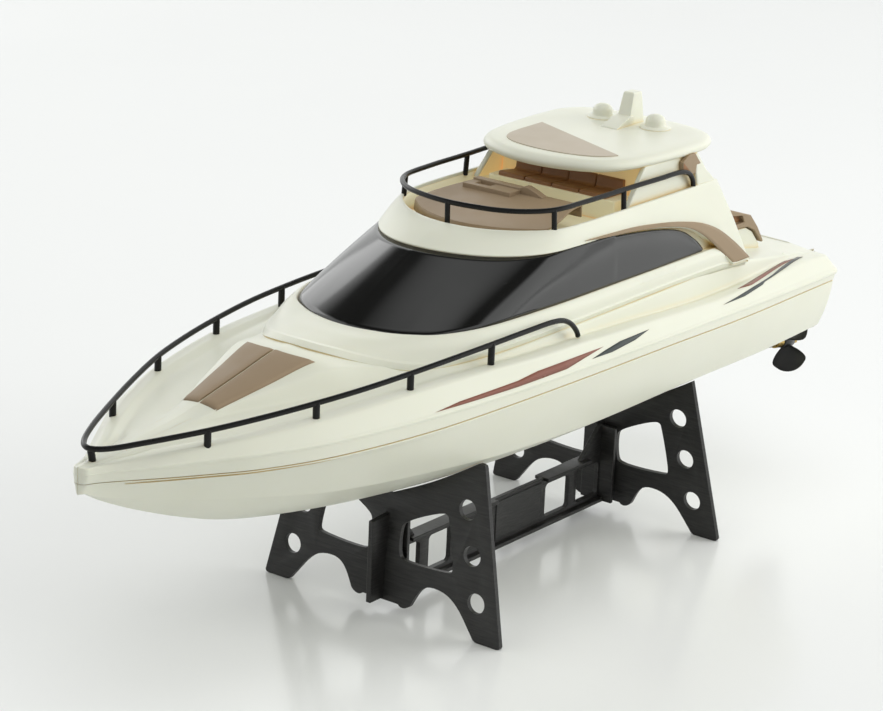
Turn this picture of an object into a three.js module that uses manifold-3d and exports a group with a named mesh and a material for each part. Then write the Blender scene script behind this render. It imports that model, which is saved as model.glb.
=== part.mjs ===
// Radio-controlled motor yacht, about 460 mm long, resting on its black display stand.
// Millimetres, +Z up, +X towards the bow, +Y to port. The origin is on the table, under the
// middle of the object's length and width. Hull, deck and superstructure are thin shells, and
// the drive, battery and electronics lie inside.

import * as THREE from 'three';
import { mergeVertices } from 'three/addons/utils/BufferGeometryUtils.js';
import Module from 'manifold-3d';

const wasm = await Module();
wasm.setup();

// ---------------------------------------------------------------- driving dimensions
const GAP = 0.4; // clearance kept between touching pieces
const WALL = 2; // moulded shell thickness
const BOW_X = 232.2; // foremost point of the stem
const STERN_X = -227; // aftmost point of the transom
const TRANSOM_FOOT = { x: -217, z: 77.5 }; // the transom leans aft from here
const TRANSOM_HEAD_Z = 101.6; // and is furthest aft at this height
const PLATE_THICKNESS = 2.3; // stand plates
const PLATE_LEAN = THREE.MathUtils.degToRad(4.5); // stand plates lean inward by this much
const FRONT_PLATE_X = 48.7; // foot of the front plate
const REAR_PLATE_X = -116.5; // foot of the rear plate
const RAIL_RADIUS = 0.95;
const DECK_FLANGE = 5; // ledge of the deck left under the edge of the cabin cover
const OPENING_AFT_X = -128; // aft edge of the opening under the cabin cover
const WELL_AFT_X = -118; // aft end of the flybridge well
const WELL_FLOOR_Z = 153; // flybridge floor
const ROOF_TOP_Z = 181.4; // top of the hardtop
const PROP_X = -224; // propeller hub
const PROP_Y = 27;
const PROP_Z = 62;
const PROP_RADIUS = 15;
const BLADE_PITCH = THREE.MathUtils.degToRad(32);
const SHAFT_TILT = THREE.MathUtils.degToRad(8); // shafts rise towards the motors
const SHAFT_RADIUS = 1;
const MOTOR_RADIUS = 8.5;

// Half breadths and heights of the hull's long lines, as [x, value] pairs from stern to bow.
const LINES = {
  sheerY: [[-227, 45.5], [-188, 52], [-152, 55], [-113, 57.5], [-49, 60], [0, 61], [55, 58.5],
    [100, 53], [145, 43.5], [170, 34], [184, 27], [198, 19], [210, 11.8], [224, 5], [232, 1.6]],
  sheerZ: [[-227, 109], [-188, 113], [-152, 112.9], [-113, 113.6], [-76, 115.7], [-24, 118.7],
    [0, 120], [30, 121], [55, 121.5], [100, 121.2], [145, 118.4], [188, 114.7], [232, 111.6]],
  lipY: [[-227, 52.4], [-190, 56], [-130, 61], [-60, 64.4], [0, 65], [54, 63], [100, 58.5],
    [145, 49], [174, 37.5], [190, 27.8], [204, 19], [218, 9.8], [226, 5], [232, 2]],
  lipZ: [[-227, 102.6], [-190, 104.6], [-158, 106], [-118, 107.5], [-60, 109.5], [0, 111],
    [54, 111.5], [100, 111.8], [174, 111.2], [204, 110], [232, 109.2]],
  seamY: [[-227, 51.8], [-190, 55.4], [-130, 60.4], [-60, 63.8], [0, 64.4], [54, 62.4],
    [100, 57.9], [145, 48.4], [174, 37], [190, 27.3], [204, 18.5], [218, 9.4], [226, 4.6],
    [232, 1.8]],
  seamZ: [[-227, 97.6], [-118, 103], [-60, 105.5], [0, 106.5], [54, 106.5], [100, 106],
    [174, 105.5], [232, 105.8]],
  chineY: [[-227, 47.4], [-170, 49.5], [-103, 50.5], [-24, 50], [30, 48.5], [60, 46], [101, 40],
    [128, 34], [147, 28], [173, 18], [197, 9], [221, 3], [232, 1]],
  chineZ: [[-227, 76.5], [-170, 75.9], [-103, 76.4], [-24, 75.9], [30, 77.4], [60, 79.1],
    [101, 81.4], [128, 83.1], [147, 85.2], [173, 88.4], [197, 92.4], [221, 98.4], [232, 103]],
  keelZ: [[-227, 57], [-140, 51], [-60, 48.5], [20, 50], [66, 54.1], [109, 60.5], [147, 68.2],
    [173, 76.3], [202, 87.8], [221, 96.8], [232, 102.5]],
  innerY: [[-227, 40], [-188, 42], [-146, 47], [-90, 50.6], [-42, 51.4], [2, 51.8], [43, 51],
    [62, 48], [82, 42], [97, 39], [118, 34], [140, 27.5], [165, 18], [190, 11], [215, 5],
    [232, 0.8]],
  innerZ: [[-227, 110], [-188, 114.6], [-146, 121], [-121, 123.6], [-42, 124], [43, 123.6],
    [82, 122.2], [118, 120.9], [165, 117.4], [190, 115], [215, 112.8], [232, 111.8]],
  panelY: [[-227, 30], [-146, 34], [-42, 40], [43, 38], [82, 33], [97, 31], [118, 25.5],
    [140, 18.5], [165, 10], [190, 6], [215, 2.6], [232, 0.5]],
  panelZ: [[-227, 110.6], [-188, 115.4], [-146, 121.6], [-42, 124.6], [43, 125], [82, 129],
    [97, 131], [118, 130.4], [140, 126], [165, 121.2], [190, 116.4], [215, 113], [232, 111.9]],
  crownZ: [[-227, 110.8], [-188, 115.8], [-146, 122], [-42, 125], [43, 126], [82, 131.5],
    [97, 134.2], [118, 132.3], [140, 127.8], [165, 122.9], [190, 117.3], [215, 113.4],
    [232, 112]],
};

// Plan outlines of the superstructure, port half, from the centre of the front to the stern
// end. Each has the same number of points, so that they can be skinned together.
const CABIN_FOOT = [[113.5, 0, 133.2], [112, 11, 132.6], [107.5, 21.5, 130.8], [97, 33, 127.6],
  [82, 40.6, 122.7], [62, 46.6, 123.3], [43, 49.8, 124], [2, 50.5, 124], [-42, 50.2, 124.4],
  [-90, 49.2, 124.6], [-121, 47.5, 124.2], [-141, 45.5, 122.4]];
const CABIN_SILL = [[102, 0, 143.6], [101, 10, 143], [97, 20, 140.2], [88, 29, 137],
  [74, 37, 134.8], [58, 42.3, 133.8], [42, 45.4, 133.4], [2, 47.6, 133], [-42, 47.8, 133.2],
  [-90, 47, 133.6], [-121, 45.6, 133.4], [-141, 44, 132.6]];
const CABIN_BROW = [[36, 0, 155.9], [34.6, 9, 155.7], [31, 17.5, 155.3], [25, 26, 154.8],
  [16.5, 34, 154.4], [7.5, 39.5, 154.2], [-2, 43, 154.2], [-16, 44.8, 154.4], [-42, 45.6, 154.6],
  [-88, 45.2, 154.6], [-118, 43.6, 154.4], [-135, 42.2, 153]];
const CABIN_RIM = [[17.4, 0, 161.8], [16.4, 9, 161.8], [13.6, 17.5, 161.8], [9, 26, 161.9],
  [3, 33, 162], [-3, 38, 162.1], [-9, 41, 162.2], [-22, 42.8, 162.4], [-42, 43.4, 162.6],
  [-88, 43.4, 162.8], [-112, 42.4, 162.6], [-127, 41.4, 161.6]];

// The black glazing, as seen from the side: [x, z], from its aft tip along the sill, over the
// front, and back along the brow.
const GLASS_SILL = [[-112, 134.3], [-86, 133.6], [2, 133], [42, 133.4], [58, 133.8],
  [74, 134.8], [88, 137], [97, 140.2], [102, 143.6]];
const GLASS_BROW = [[36, 155.9], [25, 154.8], [7.5, 154.2], [-16, 154.4], [-52, 152.6],
  [-79, 149.2], [-95, 145.3], [-106.5, 139]];

// The brown arch behind the side windows: outer edge forward to aft, inner edge aft to forward.
const ARCH_OUTER = [[-24, 155.6], [-54, 154.8], [-91, 150.3], [-109, 146.2], [-122.4, 140.7],
  [-135.4, 132.4], [-145.8, 124.9]];
const ARCH_INNER = [[-131.3, 124.9], [-121.2, 134], [-109.7, 140.9], [-98, 145.9],
  [-79, 150.2], [-52, 153.6]];

// ---------------------------------------------------------------- geometry helpers
const v2 = (x, y) => new THREE.Vector2(x, y);
const v3 = (x, y, z) => new THREE.Vector3(x, y, z);

/** Value at x of the smooth line through [x, value] pairs. */
function along(line, x) {
  const last = line.length - 1;
  let i = line.findIndex((p) => p[0] > x) - 1;
  if (i === -2) i = last - 1;
  i = Math.max(0, i);
  const slope = (a, b) => (line[b][1] - line[a][1]) / (line[b][0] - line[a][0]);
  const tangent = (k) => slope(Math.max(0, k - 1), Math.min(last, k + 1));
  const h = line[i + 1][0] - line[i][0];
  const t = THREE.MathUtils.clamp((x - line[i][0]) / h, 0, 1);
  const t2 = t * t;
  const t3 = t2 * t;
  return (2 * t3 - 3 * t2 + 1) * line[i][1] + (t3 - 2 * t2 + t) * h * tangent(i)
    + (3 * t2 - 2 * t3) * line[i + 1][1] + (t3 - t2) * h * tangent(i + 1);
}

/** Closed geometry from rings of Vector3, all with the same number of points. */
function skin(rings) {
  const n = rings[0].length;
  const positions = [];
  for (const ring of rings) {
    for (const p of ring) positions.push(p.x, p.y, p.z);
  }
  const index = [];
  for (let k = 0; k + 1 < rings.length; k += 1) {
    for (let i = 0; i < n; i += 1) {
      const a = k * n + i;
      const b = k * n + ((i + 1) % n);
      index.push(a, b, b + n, a, b + n, a + n);
    }
  }
  const flat = capProjection(rings[0]);
  const cap = (ring, start, flip) => {
    for (const [a, b, c] of THREE.ShapeUtils.triangulateShape(ring.map(flat), [])) {
      index.push(start + a, start + (flip ? c : b), start + (flip ? b : c));
    }
  };
  const counter = THREE.ShapeUtils.area(rings[0].map(flat)) > 0;
  cap(rings[0], 0, counter);
  cap(rings[rings.length - 1], (rings.length - 1) * n, !counter);
  const geometry = new THREE.BufferGeometry();
  geometry.setAttribute('position', new THREE.Float32BufferAttribute(positions, 3));
  geometry.setIndex(index);
  if (signedVolume(geometry) < 0) {
    for (let i = 0; i < index.length; i += 3) {
      [index[i + 1], index[i + 2]] = [index[i + 2], index[i + 1]];
    }
    geometry.setIndex(index);
  }
  return geometry;
}

/** Drops the axis along which the ring is thinnest. */
function capProjection(ring) {
  const size = new THREE.Box3().setFromPoints(ring).getSize(v3(0, 0, 0));
  if (size.x <= size.z && size.x <= size.y) return (p) => v2(p.y, p.z);
  if (size.z <= size.y) return (p) => v2(p.x, p.y);
  return (p) => v2(p.x, p.z);
}

function signedVolume(geometry) {
  const p = geometry.getAttribute('position');
  const index = geometry.getIndex();
  const a = v3(0, 0, 0);
  const b = v3(0, 0, 0);
  const c = v3(0, 0, 0);
  let volume = 0;
  for (let i = 0; i < index.count; i += 3) {
    a.fromBufferAttribute(p, index.getX(i));
    b.fromBufferAttribute(p, index.getX(i + 1));
    c.fromBufferAttribute(p, index.getX(i + 2));
    volume += a.dot(b.cross(c));
  }
  return volume;
}

/** three.js geometry to solid. */
function solid(geometry) {
  const bare = geometry.clone();
  bare.deleteAttribute('normal');
  bare.deleteAttribute('uv');
  const merged = mergeVertices(bare, 1e-4);
  const triVerts = [];
  const index = merged.getIndex();
  for (let i = 0; i < index.count; i += 3) {
    const [a, b, c] = [index.getX(i), index.getX(i + 1), index.getX(i + 2)];
    if (a !== b && b !== c && c !== a) triVerts.push(a, b, c);
  }
  const vertProperties = merged.getAttribute('position').array;
  const mesh = new wasm.Mesh({ numProp: 3, vertProperties, triVerts: new Uint32Array(triVerts) });
  return new wasm.Manifold(mesh);
}

/** Solid to three.js geometry. */
function fromSolid(body) {
  const mesh = body.getMesh();
  const geometry = new THREE.BufferGeometry();
  geometry.setAttribute('position', new THREE.BufferAttribute(mesh.vertProperties, 3));
  geometry.setIndex(new THREE.BufferAttribute(mesh.triVerts, 1));
  geometry.computeVertexNormals();
  return geometry;
}

function box(x0, x1, y0, y1, z0, z1) {
  const geometry = new THREE.BoxGeometry(x1 - x0, y1 - y0, z1 - z0);
  return geometry.translate((x0 + x1) / 2, (y0 + y1) / 2, (z0 + z1) / 2);
}

function boxSolid(...sides) {
  return solid(box(...sides));
}

/** Rod of a round section from a to b. */
function rod(a, b, radius, sides = 12) {
  const geometry = new THREE.CylinderGeometry(radius, radius, a.distanceTo(b), sides);
  const turn = new THREE.Quaternion().setFromUnitVectors(
    v3(0, 1, 0),
    b.clone().sub(a).normalize(),
  );
  geometry.applyQuaternion(turn);
  return geometry.translate((a.x + b.x) / 2, (a.y + b.y) / 2, (a.z + b.z) / 2);
}

/** Round bar along a smooth curve through the points. */
function bar(points, radius, steps, sides = 8) {
  const section = new THREE.Shape();
  for (let i = 0; i < sides; i += 1) {
    const angle = (i / sides) * 2 * Math.PI;
    const x = radius * Math.cos(angle);
    const y = radius * Math.sin(angle);
    if (i === 0) section.moveTo(x, y);
    else section.lineTo(x, y);
  }
  section.closePath();
  const extrudePath = new THREE.CatmullRomCurve3(points, false, 'centripetal');
  return new THREE.ExtrudeGeometry(section, { steps, extrudePath, bevelEnabled: false });
}

function shapeOf(points) {
  return new THREE.Shape(points.map(([x, y]) => v2(x, y)));
}

/** Plate whose outline is given as [x, z], from y0 to y1. */
function sidePlate(shape, y0, y1, curveSegments = 6) {
  const geometry = new THREE.ExtrudeGeometry(shape, {
    depth: y1 - y0,
    bevelEnabled: false,
    curveSegments,
  });
  return geometry.rotateX(Math.PI / 2).translate(0, y1, 0);
}

/** Plate whose outline is given as [x, y], from z0 to z1. */
function flatPlate(shape, z0, z1, curveSegments = 6) {
  const geometry = new THREE.ExtrudeGeometry(shape, {
    depth: z1 - z0,
    bevelEnabled: false,
    curveSegments,
  });
  return geometry.translate(0, 0, z0);
}

/** Whole closed ring from a port half outline, with the given number of steps between points. */
function fullRing(half, steps = 2) {
  const mirrored = half.map(([x, y, z]) => v3(x, -y, z)).reverse();
  const points = half.map(([x, y, z]) => v3(x, y, z));
  if (half[0][1] === 0) mirrored.pop();
  const curve = new THREE.CatmullRomCurve3([...mirrored, ...points], false, 'centripetal');
  const last = mirrored.length + points.length - 1;
  const ring = [];
  for (let i = 0; i <= last * steps; i += 1) ring.push(curve.getPoint(i / (last * steps)));
  return ring;
}

/** Moves a ring inward by inset in plan and up by rise. */
function insetRing(ring, inset, rise = 0) {
  const flat = ring.map((p) => v2(p.x, p.y));
  const side = Math.sign(THREE.ShapeUtils.area(flat));
  return ring.map((p, i) => {
    const before = flat[(i + ring.length - 1) % ring.length];
    const after = flat[(i + 1) % ring.length];
    const run = after.clone().sub(before).normalize();
    return v3(p.x - run.y * inset * side, p.y + run.x * inset * side, p.z + rise);
  });
}

// ---------------------------------------------------------------- scene graph
const yacht = new THREE.Group();

const PLASTIC = {
  cream: { color: 0xe9e6d2, roughness: 0.35, metalness: 0 },
  taupe: { color: 0xa88d76, roughness: 0.5, metalness: 0 },
  brown: { color: 0x6b4526, roughness: 0.5, metalness: 0 },
  glass: { color: 0x0d0d0c, roughness: 0.08, metalness: 0 },
  black: { color: 0x1a1a19, roughness: 0.5, metalness: 0 },
  stand: { color: 0x161514, roughness: 0.6, metalness: 0 },
  brass: { color: 0xb08d3a, roughness: 0.3, metalness: 1 },
  steel: { color: 0xb8babd, roughness: 0.3, metalness: 1 },
  board: { color: 0x1f5c34, roughness: 0.6, metalness: 0 },
  cell: { color: 0x2b4f8c, roughness: 0.4, metalness: 0 },
  rubber: { color: 0x2a2a2a, roughness: 0.9, metalness: 0 },
};

function add(name, geometry, look) {
  const mesh = new THREE.Mesh(geometry, new THREE.MeshStandardMaterial(PLASTIC[look]));
  mesh.name = name;
  yacht.add(mesh);
  return mesh;
}

function addSolid(name, body, look) {
  return add(name, fromSolid(body), look);
}

// Both sides carry the same fittings: port is +1, starboard is -1.
const SIDES = [['port', 1], ['starboard', -1]];

// ---------------------------------------------------------------- hull and deck shells
const STATIONS = [-227, -212, -188, -160, -130, -95, -60, -20, 20, 55, 85, 110, 130, 148, 165,
  180, 193, 205, 216, 225, 230, BOW_X];

/** The last station leans: it comes forward below the head of the transom and above it. */
function stationX(x, z) {
  if (x > STERN_X + 1) return x;
  const below = (TRANSOM_HEAD_Z - z) / (TRANSOM_HEAD_Z - TRANSOM_FOOT.z);
  const above = (z - TRANSOM_HEAD_Z - 3) / 6;
  const share = THREE.MathUtils.clamp(Math.max(below, above * above * Math.sign(above)), 0, 1);
  return x + share * (TRANSOM_FOOT.x - STERN_X);
}

/** Cross-section of the outer hull at x, port keel to port seam and across, pulled in by inset. */
function hullRing(x, inset, extraTop) {
  const y = (line) => Math.max(0.3, along(LINES[line], x) - inset);
  const z = (line) => along(LINES[line], x);
  const bulge = 1.2;
  const half = [
    [0.15, z('keelZ') + inset],
    [y('chineY') * 0.55, z('keelZ') * 0.45 + z('chineZ') * 0.55 + inset],
    [y('chineY'), z('chineZ') + inset * 0.6],
    [(y('chineY') + y('seamY')) / 2 + bulge, (z('chineZ') + z('seamZ')) / 2],
    [y('seamY'), z('seamZ')],
  ];
  if (extraTop > 0) half.push([y('seamY'), z('seamZ') + extraTop]);
  const port = half.map(([py, pz]) => v3(stationX(x, pz), py, pz));
  const starboard = half.map(([py, pz]) => v3(stationX(x, pz), -py, pz)).reverse();
  return [...starboard, ...port];
}

/** Cross-section of the deck moulding at x, from the seam up to the crown. */
function deckRing(x, inset, bottomDrop) {
  const y = (line) => Math.max(0.2, along(LINES[line], x) - inset);
  const z = (line) => along(LINES[line], x) - inset;
  const half = [
    [y('seamY'), z('seamZ') + GAP + inset - bottomDrop],
    [y('lipY'), z('lipZ') + inset * 0.6],
    [y('sheerY'), z('sheerZ') + inset * 0.3],
    [y('innerY'), z('innerZ')],
    [y('panelY'), z('panelZ')],
    [0.1, z('crownZ')],
  ];
  const port = half.map(([py, pz]) => v3(stationX(x, pz), py, pz));
  const starboard = half.map(([py, pz]) => v3(stationX(x, pz), -py, pz)).reverse();
  return [...port, ...starboard];
}

const hullOuter = solid(skin(STATIONS.map((x) => hullRing(x, 0, 0))));
const INNER_STATIONS = STATIONS.filter((x) => x > -217 && x < 226);
const hullInner = solid(skin(INNER_STATIONS.map((x) => hullRing(x, WALL, 12))));
const deckOuter = solid(skin(STATIONS.map((x) => deckRing(x, 0, 0))));
const deckInner = solid(skin(INNER_STATIONS.map((x) => deckRing(x, WALL, 12))));

const footRing = fullRing(CABIN_FOOT);
const openingShape = new THREE.Shape(insetRing(footRing, DECK_FLANGE).map((p) => v2(p.x, p.y)));
const openingPrism = solid(flatPlate(openingShape, 90, 160))
  .intersect(boxSolid(OPENING_AFT_X, 200, -60, 60, 80, 170));

// ---------------------------------------------------------------- propeller shafts and motors
const shaftDirection = v3(Math.cos(SHAFT_TILT), 0, Math.sin(SHAFT_TILT));
const onShaft = (side, distance) => v3(PROP_X, side * PROP_Y, PROP_Z)
  .addScaledVector(shaftDirection, distance);

const NUT_BACK = -8; // distances along the shaft, forward of the propeller hub
const HUB_BACK = -4.5;
const HUB_FRONT = 4.5;
const TUBE_BACK = 6.5;
const TUBE_FRONT = 96;
const COUPLING_BACK = 100;
const COUPLING_FRONT = 116;
const MOTOR_BACK = 119;
const MOTOR_FRONT = 151;

let hull = hullOuter.subtract(hullInner);
for (const [, side] of SIDES) {
  hull = hull.subtract(solid(rod(onShaft(side, 0), onShaft(side, 90), 2.6 + GAP, 16)));
}
const MOUNT_BACK = 116.8; // the motor brackets stand across the shafts here

/** Three-bladed propeller: the two sides are mirror images, as they turn opposite ways. */
function propeller(side) {
  const blade = new THREE.Shape();
  blade.moveTo(1.5, -2);
  blade.lineTo(PROP_RADIUS * 0.8, -8.6);
  blade.absarc(0, 0, PROP_RADIUS, -0.6, 0.75, false);
  blade.lineTo(1.5, 2.4);
  blade.closePath();
  const hub = new THREE.CylinderGeometry(3.1, 3.6, HUB_FRONT - HUB_BACK, 14).rotateZ(-Math.PI / 2);
  let body = solid(hub);
  for (let i = 0; i < 3; i += 1) {
    const plate = new THREE.ExtrudeGeometry(blade, {
      depth: 1.1,
      bevelEnabled: false,
      curveSegments: 6,
    });
    plate.translate(0, 0, -0.55);
    plate.rotateX(side * BLADE_PITCH);
    plate.rotateY(Math.PI / 2);
    // The blade now reaches along -Z: spread three of them round the shaft.
    plate.rotateX((i * 2 * Math.PI) / 3);
    body = body.add(solid(plate));
  }
  return body;
}

const shaftHole = solid(new THREE.CylinderGeometry(
  SHAFT_RADIUS + GAP,
  SHAFT_RADIUS + GAP,
  30,
  12,
).rotateZ(-Math.PI / 2));

function onTheShaft(body, side) {
  const turned = fromSolid(body).rotateY(-SHAFT_TILT);
  return turned.translate(PROP_X, side * PROP_Y, PROP_Z);
}

/** Ring or tube round the shaft between two distances along it. */
function sleeve(from, to, outer, inner, sides = 16) {
  const tube = new THREE.CylinderGeometry(outer, outer, to - from, sides);
  const hole = new THREE.CylinderGeometry(inner, inner, to - from + 2, sides);
  const body = solid(tube.rotateZ(-Math.PI / 2)).subtract(solid(hole.rotateZ(-Math.PI / 2)));
  return fromSolid(body).translate((from + to) / 2, 0, 0);
}

for (const [word, side] of SIDES) {
  const place = (geometry) => geometry.rotateY(-SHAFT_TILT)
    .translate(PROP_X, side * PROP_Y, PROP_Z);
  add(`propeller_${word}`, onTheShaft(propeller(side).subtract(shaftHole), side), 'black');
  add(`propeller_nut_${word}`, place(sleeve(NUT_BACK, HUB_BACK - GAP, 2.4, 1.4, 6)), 'brass');
  const shaft = rod(v3(NUT_BACK + 1, 0, 0), v3(COUPLING_BACK + 6, 0, 0), SHAFT_RADIUS, 10);
  add(`propeller_shaft_${word}`, place(shaft), 'steel');
  add(`shaft_bush_${word}`, place(sleeve(TUBE_BACK - 1.2, TUBE_BACK + 4, 2.9, 1.4)), 'brass');
  add(
    `stern_tube_${word}`,
    place(sleeve(TUBE_BACK + 4.4, TUBE_FRONT, 2.3, 1.4, 12)),
    'brass',
  );
  const coupling = sleeve(COUPLING_BACK, COUPLING_FRONT, 3.2, 1.4, 12);
  add(`shaft_coupling_${word}`, place(coupling), 'rubber');
  const can = rod(v3(MOTOR_BACK, 0, 0), v3(MOTOR_FRONT, 0, 0), MOTOR_RADIUS, 20);
  const flats = solid(can).intersect(
    boxSolid(MOTOR_BACK - 1, MOTOR_FRONT + 1, -MOTOR_RADIUS, MOTOR_RADIUS, -6.8, 6.8),
  );
  add(`motor_${word}`, place(fromSolid(flats)), 'steel');
  const spindle = rod(v3(COUPLING_BACK + 8, 0, 0), v3(MOTOR_BACK - GAP, 0, 0), SHAFT_RADIUS, 10);
  add(`motor_spindle_${word}`, place(spindle), 'steel');
  const bracket = boxSolid(MOUNT_BACK, MOUNT_BACK + 1.7, -8.8, 8.8, -6.8, 8.4)
    .subtract(solid(rod(v3(110, 0, 0), v3(125, 0, 0), 1.6 + GAP, 12)));
  add(`motor_bracket_${word}`, place(fromSolid(bracket)), 'steel');
}

addSolid('hull_shell', hull, 'cream');

// ---------------------------------------------------------------- inside the hull
const BATTERY = { x0: -14, x1: 58, y: 17, z0: 70.6, z1: 90 };
const tray = boxSolid(BATTERY.x0 - 5, BATTERY.x1 + 5, -BATTERY.y - 4, BATTERY.y + 4, 68.4, 78)
  .subtract(boxSolid(
    BATTERY.x0 - 1,
    BATTERY.x1 + 1,
    -BATTERY.y - 1,
    BATTERY.y + 1,
    BATTERY.z0 - GAP,
    100,
  ));
addSolid('battery_tray', tray, 'black');
const CELL_RADIUS = 8.4;
const CELL_SPACING = 8.1; // half the distance between the two rows of cells
let pack = boxSolid(
  BATTERY.x0 + 1,
  BATTERY.x1 - 1,
  -CELL_RADIUS,
  CELL_RADIUS,
  BATTERY.z0 + 1,
  BATTERY.z1 - 4,
);
for (const y of [-CELL_SPACING, CELL_SPACING]) {
  const z = BATTERY.z0 + CELL_RADIUS;
  pack = pack.add(solid(rod(
    v3(BATTERY.x0, y, z),
    v3(BATTERY.x1, y, z),
    CELL_RADIUS,
    16,
  )));
}
addSolid('battery_pack', pack, 'cell');
add('receiver_tray', box(-66, -22, -24, 24, 64.4, 66.6), 'black');
add('receiver_board', box(-64, -24, -20, 20, 67, 68.6), 'board');
add('speed_controller', box(-58, -34, -14, 2, 69, 75), 'black');
add('receiver_crystal_can', box(-54, -42, 6, 12, 69, 74), 'steel');
const antenna = [v3(-29, 15, 70.2), v3(-29, 17, 86), v3(-22, 22, 98), v3(-8, 26, 104),
  v3(20, 26, 105), v3(60, 22, 106)];
add('receiver_antenna', bar(antenna, 0.7, 24, 8), 'black');
add('power_switch_body', box(-112, -94, -6, 6, 70.4, 78), 'black');
add('power_switch_slider', box(-106.5, -102.5, -2, 2, 78.4, 81.6), 'black');
add('switch_bracket', box(-116, -90, -9, 9, 66.6, 70), 'black');

// ---------------------------------------------------------------- deck and its fittings
const deckSheet = deckOuter.subtract(deckInner).subtract(openingPrism);
const HATCH_PLAN = [[167.5, 0], [166.6, 9.4], [119, 17.8], [117.4, 0]];
const hatchShape = shapeOf([...HATCH_PLAN, [119, -17.8], [166.6, -9.4]]);
const hatchPrism = solid(flatPlate(hatchShape, 110, 150));
const HATCH_DEPTH = 0.9;
const HATCH_PROUD = 0.7;
const underHatch = deckOuter.translate(0, 0, -HATCH_DEPTH + GAP);
let hatch = hatchPrism.intersect(deckOuter.translate(0, 0, HATCH_PROUD)).subtract(underHatch);
hatch = hatch.subtract(boxSolid(114, 170, -0.7, 0.7, 100, 160).subtract(
  deckOuter.translate(0, 0, HATCH_PROUD - 0.5),
));
const recess = solid(flatPlate(
  new THREE.Shape(insetRing(
    [...HATCH_PLAN, [119, -17.8], [166.6, -9.4]].map(([x, y]) => v3(x, y, 0)),
    -GAP,
  ).map((p) => v2(p.x, p.y))),
  110,
  150,
)).subtract(deckOuter.translate(0, 0, -HATCH_DEPTH));
addSolid('deck_shell', deckSheet.subtract(recess), 'cream');
addSolid('foredeck_hatch', hatch, 'taupe');

/** Rail with its posts, one closed body. The path is the port half; a post is [foot, top]. */
function railing(path, posts, radius, steps) {
  const mirrored = path.map(([x, y, z]) => v3(x, -y, z)).reverse();
  if (path[0][1] === 0) mirrored.pop();
  const points = [...mirrored, ...path.map(([x, y, z]) => v3(x, y, z))];
  let body = solid(bar(points, radius, steps));
  for (const [foot, top] of posts) {
    for (const side of foot[1] === 0 ? [1] : [1, -1]) {
      const low = v3(foot[0], side * foot[1], foot[2]);
      const high = v3(top[0], side * top[1], top[2]);
      body = body.add(solid(rod(low, high, radius, 8)));
    }
  }
  return body;
}

const bowRailPath = [[226, 0, 119.6], [221.5, 6, 119.9], [211, 12.6, 120.9],
  [187.7, 23.7, 122.7], [165, 33, 124.6], [145, 39.9, 126.4], [122, 45.6, 128.2],
  [100, 49.4, 129.6], [76, 52.4, 130.9], [54.1, 54, 131.6], [30, 55, 131.8],
  [12, 55.4, 131.4], [4, 55.6, 129.6], [-1, 55.7, 126], [-3, 55.7, 121.4]];
const bowPosts = [
  [[222.6, 0, 111], [226, 0, 119.6]],
  [[187.7, 23.7, 113], [187.7, 23.7, 122.7]],
  [[145, 39.9, 117], [145, 39.9, 126.4]],
  [[100, 49.4, 120], [100, 49.4, 129.6]],
  [[54.1, 54, 121], [54.1, 54, 131.6]],
];
const bowRail = railing(bowRailPath, bowPosts, RAIL_RADIUS, 84)
  .subtract(deckOuter.translate(0, 0, GAP));
addSolid('bow_rail', bowRail, 'black');

// Seat and sun pad on the aft deck.
const AFT_SEAT_HALF = 30;
const seatProfile = [[-157, 122.6], [-157, 138.2], [-160, 138.4], [-178, 133], [-184, 127],
  [-190, 118.7], [-187, 117.4]];
const aftSeat = solid(sidePlate(shapeOf(seatProfile), -AFT_SEAT_HALF, AFT_SEAT_HALF));
const seatCushionProfile = [[-157, 128.4], [-157, 138.6], [-160, 139], [-178.2, 133.6],
  [-185, 127], [-190.6, 118.6], [-187.6, 121.5], [-181, 127.2], [-176, 128.4]];
const cushionBody = solid(sidePlate(
  shapeOf(seatCushionProfile),
  -AFT_SEAT_HALF - 0.8,
  AFT_SEAT_HALF + 0.8,
));
const pockets = [1, -1].map((side) => boxSolid(
  -172,
  -150,
  side > 0 ? AFT_SEAT_HALF - 3 : -AFT_SEAT_HALF - 3,
  side > 0 ? AFT_SEAT_HALF + 3 : -AFT_SEAT_HALF + 3,
  131.5,
  135,
));
let cushion = cushionBody;
for (const pocket of pockets) cushion = cushion.subtract(pocket);
addSolid('aft_seat_pad', cushion, 'taupe');
const cushionRoom = cushionBody.translate(0, 0, -GAP).add(cushionBody)
  .add(cushionBody.translate(-GAP, 0, 0));
const seatBase = boxSolid(-157, -152, -27, 27, 122.9, 127.6)
  .add(aftSeat)
  .subtract(cushionRoom)
  .subtract(deckOuter.translate(0, 0, GAP));
const basePieces = seatBase.decompose().sort((a, b) => b.volume() - a.volume());
addSolid('aft_seat_base', basePieces[0], 'cream');

// ---------------------------------------------------------------- superstructure
const rings = [CABIN_FOOT, CABIN_SILL, CABIN_BROW, CABIN_RIM].map((half) => fullRing(half));

/** Ring between two others, pushed outward to keep the sides full. */
function between(low, high, share, push) {
  const mixed = low.map((p, i) => p.clone().lerp(high[i], share));
  return insetRing(mixed, -push);
}

function cabinRings(inset, drop) {
  const [foot, sill, brow, rim] = rings;
  const stack = [foot, sill, between(sill, brow, 0.5, 1.4), brow, between(brow, rim, 0.5, 0.8),
    rim];
  return stack.map((ring) => insetRing(ring, inset, -drop));
}

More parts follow.
